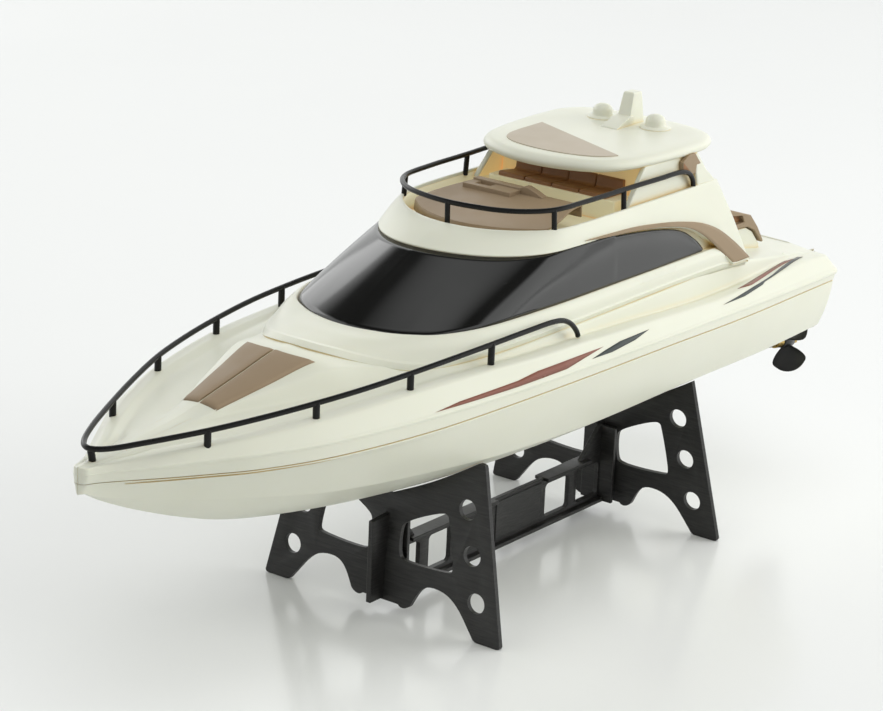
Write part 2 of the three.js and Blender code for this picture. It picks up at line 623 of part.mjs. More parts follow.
const skirt = insetRing(rings[0], 0, -8);
const cabinOuter = solid(skin([skirt, ...cabinRings(0, 0)]));
const cavityTop = WELL_FLOOR_Z - 2.2;
const cavity = [insetRing(rings[0], WALL, -12), insetRing(rings[0], WALL, 0),
  insetRing(rings[1], WALL, -1.4)];
const cavityUpper = insetRing(between(rings[1], rings[2], 0.62, 0), WALL + 0.6)
  .map((p) => v3(p.x, p.y, Math.min(p.z - 2, cavityTop)));
cavity.push(cavityUpper);
const cabinCavity = solid(skin(cavity));

const wellShape = new THREE.Shape(insetRing(rings[3], 3.4).map((p) => v2(p.x, p.y)));
const wellPrism = solid(flatPlate(wellShape, WELL_FLOOR_Z, 180))
  .intersect(boxSolid(WELL_AFT_X, 60, -60, 60, 140, 190));

const glassOutline = (grow) => {
  const sill = GLASS_SILL.map(([x, z]) => [x, z - grow]);
  const brow = GLASS_BROW.map(([x, z]) => [x - grow, z + grow]);
  sill[0][0] -= grow;
  return shapeOf([...sill, [125, 146], [125, 178], [36 - grow, 178], ...brow]);
};
const glassPrism = solid(sidePlate(glassOutline(0), -70, 70));
const glassPrismWide = solid(sidePlate(glassOutline(GAP), -70, 70));
const behindGlass = solid(skin([insetRing(skirt, 1.2, -1.2), ...cabinRings(1.2, 1.2)]));
const behindRecess = solid(skin([insetRing(skirt, 1.6, -1.6), ...cabinRings(1.6, 1.6)]));

const cabinCover = cabinOuter
  .subtract(cabinCavity)
  .subtract(wellPrism)
  .subtract(glassPrismWide.subtract(behindRecess))
  .subtract(deckOuter.translate(0, 0, GAP));
const coverPieces = cabinCover.decompose().sort((a, b) => b.volume() - a.volume());
addSolid('cabin_cover', coverPieces[0], 'cream');
addSolid('cabin_glazing', cabinOuter.intersect(glassPrism).subtract(behindGlass), 'glass');

// Arch trims stand just proud of the cabin sides.
const archShape = shapeOf([...ARCH_OUTER, ...ARCH_INNER]);
const cabinGrown = solid(skin([insetRing(skirt, -GAP, 0), ...cabinRings(-GAP, 0)]));
for (const [word, side] of SIDES) {
  const y0 = side > 0 ? 40 : -48.6;
  const plate = solid(sidePlate(archShape, y0, y0 + 8.6)).subtract(cabinGrown)
    .subtract(boxSolid(-200, 0, -45.6, 45.6, 100, 142))
    .subtract(boxSolid(-200, 0, -43.6, 43.6, 141.5, 160));
  const pieces = plate.decompose().sort((a, b) => b.volume() - a.volume());
  addSolid(`arch_trim_${word}`, pieces[0], 'taupe');
}

// ---------------------------------------------------------------- flybridge
const DASH_Z = [159.2, 163.4]; // front and rear height of the sloping dash
const dashFront = [[8.6, 0], [7.6, 8], [5, 16], [1.6, 23], [-4, 29.6], [-9, 33.4]];
const dashBack = [[-42, 29]];
const dashHalf = [...dashFront, ...dashBack];
const dashShape = shapeOf([
  ...dashHalf,
  ...dashHalf.slice(1).reverse().map(([x, y]) => [x, -y]),
]);
const dashSide = shapeOf([[10, WELL_FLOOR_Z + GAP], [10, DASH_Z[0]], [-38, DASH_Z[1]],
  [-43, DASH_Z[1] - 0.6], [-43, WELL_FLOOR_Z + GAP]]);
const dash = solid(flatPlate(dashShape, WELL_FLOOR_Z + GAP, 170))
  .intersect(solid(sidePlate(dashSide, -40, 40)));
addSolid('helm_dash', dash, 'taupe');

const consoleSide = shapeOf([[-29, 162.9], [-29.4, 166], [-40.6, 167], [-40.6, 164]]);
let helm = solid(sidePlate(consoleSide, -25, 1));
const hump = shapeOf([[-25, 163.9], [-25, 166.6], [-1.5, 166.6], [2.5, 168], [11, 163.9]]);
const humpPlate = new THREE.ExtrudeGeometry(hump, { depth: 4, bevelEnabled: false });
humpPlate.rotateX(Math.PI / 2).rotateZ(Math.PI / 2).translate(-40.6, 0, 0);
helm = helm.add(solid(humpPlate)).subtract(boxSolid(-39, -35.6, -20.5, -12, 165.6, 170))
  .subtract(dash.translate(0, 0, GAP));
const helmPieces = helm.decompose().sort((a, b) => b.volume() - a.volume());
addSolid('helm_console', helmPieces[0], 'brown');

const BENCH_HALF = 29;
add('bench_base', box(-79, -58.6, -33, 33, WELL_FLOOR_Z + GAP, 161.4), 'cream');
let bench = boxSolid(-73.2, -59.4, -BENCH_HALF, BENCH_HALF, 161.8, 163.4)
  .add(boxSolid(-76, -71.8, -BENCH_HALF, BENCH_HALF, 161.8, 168.6));
const SEAT_COUNT = 4;
for (let i = 1; i < SEAT_COUNT; i += 1) {
  const y = -BENCH_HALF + (i * 2 * BENCH_HALF) / SEAT_COUNT;
  bench = bench.subtract(boxSolid(-72, -58, y - 0.4, y + 0.4, 162.8, 170));
}
addSolid('bench_seat', bench, 'brown');

// Side wings hold the hardtop and carry a brown louvre each.
const wingShape = shapeOf([[-60, 163.4], [-72.6, 176], [-112, 176], [-117.5, 168],
  [-124.6, 162.6], [-112, 163.4]]);
const louvreShape = shapeOf([[-98, 171.2], [-98, 174.4], [-102.4, 175.6], [-107.2, 175.6],
  [-114.6, 168.2], [-105.4, 168]]);
for (const [word, side] of SIDES) {
  const wing = solid(sidePlate(wingShape, side > 0 ? 36.6 : -39, side > 0 ? 39 : -36.6));
  addSolid(
    `hardtop_support_${word}`,
    wing.subtract(cabinOuter.translate(0, 0, GAP)).decompose()
      .sort((a, b) => b.volume() - a.volume())[0],
    'cream',
  );
  const y = side > 0 ? 39.4 : -40.6;
  add(`side_louvre_${word}`, sidePlate(louvreShape, y, y + 1.2), 'taupe');
}

// Hardtop: a thick rounded slab.
const ROOF_HALF = [[-36, 0, 0], [-37.2, 14, 0], [-41, 27, 0], [-47, 36, 0], [-56, 41.6, 0],
  [-70, 43.2, 0], [-98, 43.6, 0], [-113, 42.8, 0], [-124, 39, 0], [-131, 31.5, 0],
  [-135, 19, 0], [-136.2, 0, 0]];
const roofOutline = fullRing(ROOF_HALF).slice(0, -1);
const roofLevel = (inset, z) => insetRing(roofOutline, inset).map((p) => v3(p.x, p.y, z));
const roof = skin([roofLevel(5, 176.4), roofLevel(1, 177), roofLevel(0, 178.4),
  roofLevel(1.2, 180), roofLevel(5, 181), roofLevel(10, ROOF_TOP_Z)]);
add('hardtop', roof, 'cream');
const ROOF_PANEL = [[-50, 14], [-47.4, 0], [-49, -12], [-54, -21], [-62, -25.6], [-86, -27],
  [-62, 29], [-57, 28]];
add('roof_panel', flatPlate(shapeOf(ROOF_PANEL), ROOF_TOP_Z + GAP, ROOF_TOP_Z + 0.9), 'taupe');

for (const [word, side] of SIDES) {
  const foot = ROOF_TOP_Z + GAP;
  const profile = [v2(0, 0), v2(6.8, 0), v2(6.8, 0.6), v2(6.2, 1), v2(4.5, 1.2), v2(4.4, 3.2),
    v2(3.6, 4.8), v2(2, 5.8), v2(0, 6.1)];
  const dome = new THREE.LatheGeometry(profile, 20).rotateX(Math.PI / 2);
  add(`radar_dome_${word}`, dome.translate(-117.1, side * 14, foot), 'cream');
}

const mastFoot = ROOF_TOP_Z + GAP;
const mastRing = (x0, x1, half, z0, z1 = z0) => [v3(x0, -half, z0), v3(x0, half, z0),
  v3(x1, half, z1), v3(x1, -half, z1)];
let mast = solid(skin([mastRing(-112, -124, 3.5, mastFoot), mastRing(-116, -122, 2.7, 195.5)]));
mast = mast.add(solid(skin([
  mastRing(-101, -113.5, 3.5, mastFoot),
  mastRing(-101.4, -113.5, 3.5, mastFoot + 0.8, mastFoot + 3.2),
])));
addSolid('mast', mast, 'cream');

const flyRailPath = [[14.6, 0, 170.2], [13.2, 12, 170.2], [9.6, 23.5, 170.2], [3, 32.4, 170.2],
  [-6.8, 38.4, 170.2], [-26, 40.4, 170.4], [-53.7, 41, 170.6], [-80, 42, 170.8],
  [-97, 42.2, 170.6], [-103, 42.2, 168.4], [-106, 42, 164.4], [-106.6, 41.8, 161]];
const flyPosts = [
  [[14.4, 0, 160.4], [14.6, 0, 170.2]],
  [[-6.8, 39, 160.4], [-6.8, 38.4, 170.2]],
  [[-53.7, 41, 160.4], [-53.7, 41, 170.6]],
];
const flyRail = railing(flyRailPath, flyPosts, RAIL_RADIUS, 72)
  .subtract(cabinOuter.translate(0, 0, GAP));
addSolid('fly_rail', flyRail.decompose().sort((a, b) => b.volume() - a.volume())[0], 'black');

// ---------------------------------------------------------------- display stand
/** Stand plate outline as [y, height], with its windows and holes. */
function plateShape() {
  const shape = new THREE.Shape();
  const arch = (side) => {
    if (side > 0) {
      shape.lineTo(13, 3.6);
      shape.bezierCurveTo(19, 3.6, 18, 17, 30, 17);
      shape.bezierCurveTo(46, 17, 43, 0, 52, 0);
    } else {
      shape.moveTo(-52, 0);
      shape.bezierCurveTo(-43, 0, -46, 17, -30, 17);
      shape.bezierCurveTo(-18, 17, -19, 3.6, -13, 3.6);
    }
  };
  arch(-1);
  arch(1);
  shape.lineTo(62.3, 0);
  shape.lineTo(46.6, 73);
  shape.lineTo(46, 76);
  shape.lineTo(-46, 76);
  shape.lineTo(-46.6, 73);
  shape.lineTo(-62.3, 0);
  shape.closePath();
  for (const side of [1, -1]) {
    for (const [y, h] of [[40.1, 54.4], [44.4, 35.7], [48.6, 16.4]]) {
      const hole = new THREE.Path();
      hole.absarc(side * y, h, 4.2, 0, 2 * Math.PI, true);
      shape.holes.push(hole);
    }
    const corners = [[7.9, 40.6], [30.4, 50.6], [35.7, 25.5], [8, 25.1]];
    shape.holes.push(new THREE.Path(corners.map(([y, h]) => v2(side * y, h))));
  }
  return shape;
}

function standPlate(x, lean) {
  const geometry = new THREE.ExtrudeGeometry(plateShape(), {
    depth: PLATE_THICKNESS,
    bevelEnabled: false,
    curveSegments: 7,
  });
  // The outline's x becomes the yacht's y, and its y becomes height.
  geometry.translate(0, 0, -PLATE_THICKNESS / 2);
  geometry.applyMatrix4(new THREE.Matrix4().makeBasis(v3(0, 1, 0), v3(0, 0, 1), v3(1, 0, 0)));
  geometry.rotateY(-lean).translate(x, 0, 0);
  return solid(geometry).intersect(boxSolid(-200, 200, -90, 90, 0, 120));
}

const HULL_CLEARANCE = 0.5;
const hullSpace = hullOuter.translate(0, 0, -HULL_CLEARANCE).add(hullOuter);
const BEAM = { z0: 5.5, z1: 28, half: 4 };
const BEAM_WINDOWS = [[24.6, 35.5], [3, 18.3], [-85.4, -67], [-108.7, -91.4]]; // x ranges
const beamEnds = [REAR_PLATE_X - 7, FRONT_PLATE_X + 9];
let beam = boxSolid(beamEnds[0], beamEnds[1], -1.1, 1.1, BEAM.z0, BEAM.z1);
beam = beam.add(boxSolid(REAR_PLATE_X + 5, FRONT_PLATE_X - 5, -BEAM.half, BEAM.half, BEAM.z0, 7.2))
  .add(boxSolid(REAR_PLATE_X + 7, FRONT_PLATE_X - 7, -BEAM.half, BEAM.half, 26.6, BEAM.z1));
for (const [x, inward] of [[FRONT_PLATE_X, -1], [REAR_PLATE_X, 1]]) {
  const gusset = shapeOf([[x + inward * 5, 20], [x + inward * 24, 26], [x + inward * 7, 43],
    [x - inward * 3, 43], [x - inward * 9, 41], [x - inward * 9, 8], [x, 8]]);
  beam = beam.add(solid(sidePlate(gusset, -1.1, 1.1)));
  const rib = boxSolid(Math.min(x + inward * 5.6, x + inward * 7.2),
    Math.max(x + inward * 5.6, x + inward * 7.2), -BEAM.half, BEAM.half, BEAM.z0, 41);
  beam = beam.add(rib);
}
for (const [low, high] of BEAM_WINDOWS) {
  beam = beam.subtract(boxSolid(low, high, -2, 2, 9, 24.5));
}
for (const side of [1, -1]) {
  const y = side > 0 ? [2.4, 6] : [-6, -2.4];
  beam = beam.subtract(boxSolid(-64, -29, ...y, 26, 29));
}

const frontPlate = standPlate(FRONT_PLATE_X, PLATE_LEAN).subtract(hullSpace);
const rearPlate = standPlate(REAR_PLATE_X, -PLATE_LEAN).subtract(hullSpace);
/** Cuts the slot that the beam's web passes through. */
function slotted(plate, x) {
  const slot = boxSolid(x - 12, x + 12, -1.1 - GAP, 1.1 + GAP, BEAM.z0 - GAP, 43 + GAP);
  return plate.subtract(slot);
}
addSolid('stand_front_plate', slotted(frontPlate, FRONT_PLATE_X - 1.5), 'stand');
addSolid('stand_rear_plate', slotted(rearPlate, REAR_PLATE_X + 1.5), 'stand');
addSolid('stand_beam', beam, 'stand');

export default yacht;
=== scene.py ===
"""Cream radio-controlled motor yacht on its black display stand.

Metres in Blender, but every size below is in millimetres and goes through MM. X points to the
bow, Y to port and Z up, as in the frame. The hull and deck are skinned over long lines that
follow the CAD model's, with many more sections, rounded edges and shadow gaps. Each visible
CAD node is replaced by a detailed piece or given a material of its own.
"""

import math

import bmesh
import bpy
from mathutils import Matrix, Vector


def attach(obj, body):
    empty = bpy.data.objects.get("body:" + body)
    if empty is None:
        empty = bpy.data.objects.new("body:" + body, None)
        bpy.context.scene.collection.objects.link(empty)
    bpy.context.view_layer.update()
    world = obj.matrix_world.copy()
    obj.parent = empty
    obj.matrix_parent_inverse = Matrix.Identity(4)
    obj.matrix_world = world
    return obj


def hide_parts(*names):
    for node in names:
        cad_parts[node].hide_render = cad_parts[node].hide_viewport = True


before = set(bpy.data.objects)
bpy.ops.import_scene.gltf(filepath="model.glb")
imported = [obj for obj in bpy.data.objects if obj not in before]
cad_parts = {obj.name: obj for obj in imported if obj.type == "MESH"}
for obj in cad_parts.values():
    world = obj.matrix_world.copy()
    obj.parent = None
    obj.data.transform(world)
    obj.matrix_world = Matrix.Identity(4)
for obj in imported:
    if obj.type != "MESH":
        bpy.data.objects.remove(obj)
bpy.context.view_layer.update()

MM = 0.001
SIDES = (("port", 1), ("starboard", -1))

# ------------------------------------------------------------------ long lines of the hull
# Half breadths and heights as (x, value) pairs from stern to bow.
SHEER_Y = [(-227, 47.5), (-217, 49.5), (-188, 52), (-152, 55), (-113, 57.5), (-76, 59), (-49, 60),
           (0, 61), (30, 60.5), (55, 58.5), (100, 53), (145, 43.5), (170, 34), (184, 27),
           (198, 19), (210, 11.8), (224, 5.0), (232, 2.6)]
SHEER_Z = [(-227, 109.2), (-217, 110.4), (-188, 113), (-152, 112.8), (-113, 113.6), (-76, 115.7),
           (-49, 117.5), (-24, 118.7), (0, 120), (30, 120.8), (55, 121.5), (100, 121.2),
           (145, 118.6), (170, 116.4), (184, 115.2), (198, 114), (210, 112.7), (232, 111.5)]
LIP_Y = [(-227, 52.6), (-190, 56), (-130, 61), (-60, 64.5), (0, 65), (54, 63), (100, 58.5),
         (145, 49), (174, 37.5), (190, 27.8), (204, 19), (218, 9.7), (226, 5), (232, 2.8)]
LIP_Z = [(-227, 102.8), (-217, 103.5), (-158, 106), (-118, 107.5), (-60, 109.5), (0, 111),
         (54, 111.5), (100, 111.8), (174, 111.2), (204, 110), (232, 109.2)]
SEAM_Y = [(x, y - 0.55) for x, y in LIP_Y]
SEAM_Z = [(-227, 98), (-217, 99), (-118, 103), (-60, 105.5), (0, 106.5), (54, 106.5),
          (100, 106), (174, 105.5), (204, 105.5), (232, 106)]
CHINE_Y = [(-227, 47.6), (-170, 49.5), (-103, 50.5), (-62, 50.5), (-24, 50), (30, 48.5),
           (60, 46), (101, 40), (128, 34), (147, 28), (173, 18), (197, 9), (221, 3), (232, 1.4)]
CHINE_Z = [(-227, 76.5), (-170, 75.8), (-103, 76.5), (-24, 75.8), (30, 77.4), (60, 79.1),
           (101, 81.4), (128, 83.1), (147, 85.2), (173, 88.4), (197, 92.4), (221, 98.4),
           (232, 103)]
KEEL_Z = [(-227, 57), (-140, 51), (-60, 48.5), (20, 50), (66, 54.1), (109, 60.5), (147, 68.2),
          (173, 76.3), (202, 87.8), (221, 96.8), (229, 101.5), (232, 103)]
INNER_Y = [(-227, 41), (-188, 44), (-160, 45), (-146, 46), (-121, 47.5), (-90, 49.6), (-42, 50.6),
           (2, 50.9), (43, 50.2), (62, 46.8), (74, 43.2), (84, 38.4), (92, 35.2), (100, 33.4),
           (118, 28), (140, 20), (161, 11.5), (175, 8.5), (190, 7), (215, 3.5), (232, 1.2)]
INNER_Z = [(-227, 110.4), (-217, 111), (-188, 115.5), (-160, 119), (-146, 121.6), (-121, 123.2),
           (-42, 123.2), (43, 122.8), (62, 122.3), (74, 122.4), (84, 122), (92, 121.6), (100, 121),
           (118, 119.9), (140, 118.7), (161, 117.4), (175, 116.6), (190, 115.4), (215, 113),
           (232, 111.7)]
PANEL_Y = [(-227, 30), (-146, 36), (-42, 42), (43, 41), (62, 40), (74, 37.5), (84, 34.5),
           (92, 31.5), (103, 27.5), (118, 23.5), (140, 17), (163, 9.6), (175, 6.5), (190, 5),
           (215, 2.4), (232, 0.7)]
PANEL_Z = [(-227, 111.2), (-188, 115.9), (-146, 121.9), (-42, 124.3), (43, 124.4), (62, 124.6),
           (74, 124.4), (84, 124.2), (92, 124.6), (103, 126), (118, 127.8), (140, 124), (163, 119.9),
           (175, 117.6), (190, 115.8), (215, 113.2), (232, 111.8)]
CROWN_Z = [(-227, 111.6), (-188, 116.2), (-146, 122.2), (-42, 124.6), (43, 125.6), (62, 126.4),
           (82, 128.2), (97, 130.2), (113, 131.5), (122, 131.3), (140, 126.9), (165, 120.8),
           (175, 118.4), (190, 116.4), (215, 113.4), (232, 112)]

STERN_X = -227
LEAN_START_X = STERN_X + 12  # the sections lean with the transom aft of here
FINE_X = 150  # the sections are closer together forward of here
NOSE_X = 228.9  # the last section; the nose is rounded from here to the stem
NOSE_END_X = 231.2
BOW_X = 232
HALF_BEAM = 64.9  # nothing on the hull's side stands out further than this
HULL_WALL = 1.5
DECK_WALL = 1.3
COVER_WALL = 1.1
TRANSOM_FOOT_X = -217
TRANSOM_FOOT_Z = 77.5
TRANSOM_HEAD_Z = 101.6

# ------------------------------------------------------------------ superstructure rings
# Port half outlines from the centre of the front aft: foot, sill (foot of the glass), brow
# (head of the glass) and rim (top of the flybridge coaming).
FOOT = [(113, 0, 131.9), (112, 8, 131.4), (108.6, 16, 130.1), (101, 24, 127.1), (92.5, 31.5, 124.3),
        (84, 38, 122.8), (74, 43.2, 122.6), (62, 46.6, 123.1), (43, 49.8, 123.8), (2, 50.5, 123.8),
        (-42, 50.2, 124.2)]
SILL = [(80.4, 0, 131.9), (79.8, 7, 131.9), (78.3, 14, 132), (76, 21, 132.1), (72.6, 28, 132.4),
        (67.4, 35, 132.7), (57.4, 41, 133.1), (42, 45.4, 133.4), (2, 47.6, 133.2),
        (-42, 47.8, 133.2)]
BROW = [(36, 0, 155.9), (34.6, 9, 155.7), (31, 17.5, 155.3), (25, 26, 154.8),
        (16.5, 34, 154.4), (7.5, 39.5, 154.2), (-2, 43, 154.2), (-16, 44.8, 154.4),
        (-42, 45.6, 154.6)]
RIM = [(17.4, 0, 161.8), (16.4, 9, 161.8), (13.6, 17.5, 161.8), (9, 26, 161.9),
       (3, 33, 162), (-3, 38, 162.1), (-9, 41, 162.2), (-22, 42.8, 162.4), (-42, 43.4, 162.6)]
RING_CORNERS = (7, 7, 6, 6)  # index in each outline where its front turns into its side
JOIN_X = -42  # where the cover's rounded front meets its straight sides
# Side walls aft of there: half breadth by height at three stations.
WALL_Y = [(-42, [(124, 50.2), (133.2, 47.8), (154.6, 45.6), (162.6, 43.4)]),
          (-90, [(124, 49.4), (133.2, 47.6), (154.6, 45.2), (162.8, 43.4)]),
          (-146, [(122, 49.0), (133.2, 47.0), (154.6, 43.8), (162.8, 41.6)])]
GLASS_TOP = [(-112, 134.4), (-106.5, 139), (-95, 145.3), (-79, 149.2), (-52, 152.6),
             (-30, 154.2), (-16, 154.4)]
ARCH_IN = [(-131.3, 124.6), (-121.2, 134), (-109.7, 140.9), (-98, 145.9), (-79, 150.0),
           (-52, 153.3), (-30, 154.9), (-20, 155.4)]
ARCH_OUT = [(-145.8, 124.3), (-135.4, 132.6), (-122.4, 140.9), (-109, 146.4), (-91, 150.5),
            (-70, 153.4), (-54, 154.9), (-22, 156)]
WING_AFT = [(120, -146.5), (124, -145), (132, -140.5), (148, -138), (156, -131.5),
            (162.8, -124.5), (170, -117)]
GLASS_TIP_X = -112
SILL_Z = 133.2
MID_Z = 140  # height at which a side column's place along the boat is judged
RIM_Z = 162.6
WELL_FLOOR_Z = 153.4
ROOF_TOP_Z = 181.4


def along(line, x):
    """Value at x of the smooth line through (x, value) pairs."""
    last = len(line) - 1
    i = 0
    while i < last - 1 and line[i + 1][0] <= x:
        i += 1

    def tangent(k):
        a, b = line[max(0, k - 1)], line[min(last, k + 1)]
        return (b[1] - a[1]) / (b[0] - a[0])

    h = line[i + 1][0] - line[i][0]
    t = min(1.0, max(0.0, (x - line[i][0]) / h))
    t2, t3 = t * t, t * t * t
    return ((2 * t3 - 3 * t2 + 1) * line[i][1] + (t3 - 2 * t2 + t) * h * tangent(i)
            + (3 * t2 - 2 * t3) * line[i + 1][1] + (t3 - t2) * h * tangent(i + 1))


def spaced(a, b, n):
    """n numbers evenly spaced from a to b."""
    return [a + (b - a) * i / (n - 1) for i in range(n)]


def smoothstep(a, b, x):
    """0 at a, 1 at b, with a smooth start and end."""
    t = min(1.0, max(0.0, (x - a) / (b - a)))
    return t * t * (3 - 2 * t)


def catmull(points, n):
    """n points evenly spread by parameter on the centripetal curve through points."""
    pts = [Vector(p) for p in points]
    if (pts[0] - pts[-1]).length > 1e-6:
        ends = [pts[0] * 2 - pts[1]] + pts + [pts[-1] * 2 - pts[-2]]
    else:
        ends = [pts[-2]] + pts + [pts[1]]
    out = []
    for j in range(n):
        u = j / (n - 1) * (len(pts) - 1)
        k = min(int(u), len(pts) - 2)
        f = u - k
        p0, p1, p2, p3 = ends[k:k + 4]
        t0 = 0.0
        t1 = t0 + max(1e-6, (p1 - p0).length) ** 0.5
        t2 = t1 + max(1e-6, (p2 - p1).length) ** 0.5
        t3 = t2 + max(1e-6, (p3 - p2).length) ** 0.5
        t = t1 + f * (t2 - t1)
        a1 = p0 * ((t1 - t) / (t1 - t0)) + p1 * ((t - t0) / (t1 - t0))
        a2 = p1 * ((t2 - t) / (t2 - t1)) + p2 * ((t - t1) / (t2 - t1))
        a3 = p2 * ((t3 - t) / (t3 - t2)) + p3 * ((t - t2) / (t3 - t2))
        b1 = a1 * ((t2 - t) / (t2 - t0)) + a2 * ((t - t0) / (t2 - t0))
        b2 = a2 * ((t3 - t) / (t3 - t1)) + a3 * ((t - t1) / (t3 - t1))
        out.append(b1 * ((t2 - t) / (t2 - t1)) + b2 * ((t - t1) / (t2 - t1)))
    return out


def rounded(corners, steps=4):
    """Polyline through (point, radius, fill) corners, each rounded, with fill points after it."""
    out = []
    count = len(corners)
    for i, (p, radius, fill) in enumerate(corners):
        p = Vector(p)
        if radius > 0 and 0 < i < count - 1:
            before, after = Vector(corners[i - 1][0]), Vector(corners[i + 1][0])
            da = min(radius, (before - p).length * 0.45)
            db = min(radius, (after - p).length * 0.45)
            a = p + (before - p).normalized() * da if da > 1e-6 else p
            b = p + (after - p).normalized() * db if db > 1e-6 else p
            for k in range(steps + 1):
                t = k / steps
                out.append(a * (1 - t) ** 2 + p * (2 * t * (1 - t)) + b * t * t)
        else:
            out.append(p)
        if fill and i < count - 1:
            start = out[-1]
            nxt = Vector(corners[i + 1][0])
            reach = (nxt - start).length
            cut = min(corners[i + 1][1], reach * 0.45) if 0 < i + 1 < count - 1 else 0
            end = nxt + (start - nxt).normalized() * cut if reach > 1e-6 else nxt
            for k in range(1, fill + 1):
                out.append(start.lerp(end, k / (fill + 1)))
    return out


# ------------------------------------------------------------------ materials
class Shader:
    """Small helper that wires one procedural material."""

    def __init__(self, name):
        self.material = bpy.data.materials.new(name)
        self.material.use_nodes = True
        self.tree = self.material.node_tree
        self.tree.nodes.clear()
        self.out = self.node("ShaderNodeOutputMaterial")
        self.bsdf = self.node("ShaderNodeBsdfPrincipled")
        self.link(self.bsdf.outputs["BSDF"], self.out.inputs["Surface"])
        coords = self.node("ShaderNodeTexCoord")
        self.place = coords.outputs["Object"]

    def node(self, kind, **values):
        made = self.tree.nodes.new(kind)
        for key, value in values.items():
            setattr(made, key, value)
        return made

    def link(self, a, b):
        self.tree.links.new(a, b)

    def noise(self, scale, detail=3.0, stretch=None):
        place = self.place
        if stretch:
            mapping = self.node("ShaderNodeMapping")
            mapping.inputs["Scale"].default_value = stretch
            self.link(place, mapping.inputs["Vector"])
            place = mapping.outputs["Vector"]
        texture = self.node("ShaderNodeTexNoise")
        texture.inputs["Scale"].default_value = scale
        texture.inputs["Detail"].default_value = detail
        self.link(place, texture.inputs["Vector"])
        return texture.outputs["Fac"]

    def ramp(self, value, low, high, a, b):
        remap = self.node("ShaderNodeMapRange")
        for key, number in (("From Min", low), ("From Max", high), ("To Min", a), ("To Max", b)):
            remap.inputs[key].default_value = number
        self.link(value, remap.inputs["Value"])
        return remap.outputs["Result"]

    def mix(self, factor, a, b):
        mixed = self.node("ShaderNodeMix", data_type="RGBA")
        self.link(factor, mixed.inputs["Factor"])
        for key, colour in ((6, a), (7, b)):
            if isinstance(colour, tuple):
                mixed.inputs[key].default_value = (*colour, 1)
            else:
                self.link(colour, mixed.inputs[key])
        return mixed.outputs[2]

    def bump(self, height, strength, distance, normal=None):
        made = self.node("ShaderNodeBump")
        made.inputs["Strength"].default_value = strength
        made.inputs["Distance"].default_value = distance
        self.link(height, made.inputs["Height"])
        if normal is not None:
            self.link(normal, made.inputs["Normal"])
        return made.outputs["Normal"]

    def finish(self, colour, roughness, normal=None):
        self.link(colour, self.bsdf.inputs["Base Color"])
        self.link(roughness, self.bsdf.inputs["Roughness"])
        if normal is not None:
            self.link(normal, self.bsdf.inputs["Normal"])
        return self.material


def cream_plastic(name, light, deep, painted_crevice_shade, rough, painted_glow=0.0):
    """Slightly translucent cream moulding with faint mould texture, turned amber in its crevices by
    painted shade (ambient occlusion), with an optional painted glow.
    """
    s = Shader(name)
    cloud = s.ramp(s.noise(18.0, 2.0), 0.35, 0.65, 0.0, 1.0)
    body = s.mix(cloud, light, deep)
    # Painted shade: amber is mixed in where ambient occlusion finds crevices and hollows.
    hollow = s.node("ShaderNodeAmbientOcclusion", samples=8)
    hollow.inputs["Distance"].default_value = 0.005
    shade = s.ramp(hollow.outputs["AO"], 0.15, 0.72, 1.0, 0.0)
    colour = s.mix(shade, body, painted_crevice_shade)
    fine = s.noise(1400.0, 2.0)
    roughness = s.ramp(s.noise(60.0, 4.0), 0.3, 0.7, rough - 0.04, rough + 0.05)
    normal = s.bump(fine, 0.05, 0.0002)
    normal = s.bump(s.noise(40.0, 1.0), 0.03, 0.001, normal)
    # Painted glow: the plastic emits light in its own colour, though it is no lamp.
    s.bsdf.inputs["Emission Color"].default_value = (*light, 1)
    s.bsdf.inputs["Emission Strength"].default_value = painted_glow
    s.bsdf.inputs["Subsurface Weight"].default_value = 0.06
    s.bsdf.inputs["Subsurface Radius"].default_value = (1.0, 0.7, 0.3)
    s.bsdf.inputs["Subsurface Scale"].default_value = 0.0015
    s.bsdf.inputs["Coat Weight"].default_value = 0.15
    s.bsdf.inputs["Coat Roughness"].default_value = 0.25
    return s.finish(colour, roughness, normal)


def satin_plastic(name, light, deep, rough, grain=900.0, bump=0.12):
    """Painted or self-coloured matt moulding with a fine spark-eroded texture."""
    s = Shader(name)
    cloud = s.ramp(s.noise(30.0, 3.0), 0.35, 0.65, 0.0, 1.0)
    colour = s.mix(cloud, light, deep)
    roughness = s.ramp(s.noise(90.0, 4.0), 0.3, 0.7, rough - 0.05, rough + 0.06)
    normal = s.bump(s.noise(grain, 3.0), bump, 0.0002)
    return s.finish(colour, roughness, normal)


def glossy_black(name, rough, coat, ior=1.5):
    """Polished black moulding with faint dust and polishing marks."""
    s = Shader(name)
    dust = s.ramp(s.noise(700.0, 2.0), 0.71, 0.78, 0.0, 1.0)
    colour = s.mix(dust, (0.006, 0.006, 0.0055), (0.02, 0.02, 0.02))
    roughness = s.ramp(s.noise(45.0, 5.0), 0.3, 0.75, rough, rough + 0.07)
    normal = s.bump(s.noise(25.0, 1.0), 0.02, 0.001)
    s.bsdf.inputs["Coat Weight"].default_value = coat
    s.bsdf.inputs["Coat Roughness"].default_value = 0.06
    s.bsdf.inputs["IOR"].default_value = ior
    return s.finish(colour, roughness, normal)


def grained_black(name):
    """Black stand plastic with a fine grain that runs across the plates."""
    s = Shader(name)
    grain = s.noise(260.0, 5.0, (0.6, 0.35, 5.5))
    cloud = s.noise(35.0, 2.0)
    colour = s.mix(s.ramp(grain, 0.35, 0.7, 0.0, 1.0), (0.008, 0.0078, 0.0072),
                   (0.022, 0.0212, 0.0198))
    roughness = s.ramp(cloud, 0.3, 0.7, 0.38, 0.52)
    return s.finish(colour, roughness, s.bump(grain, 0.5, 0.0004))


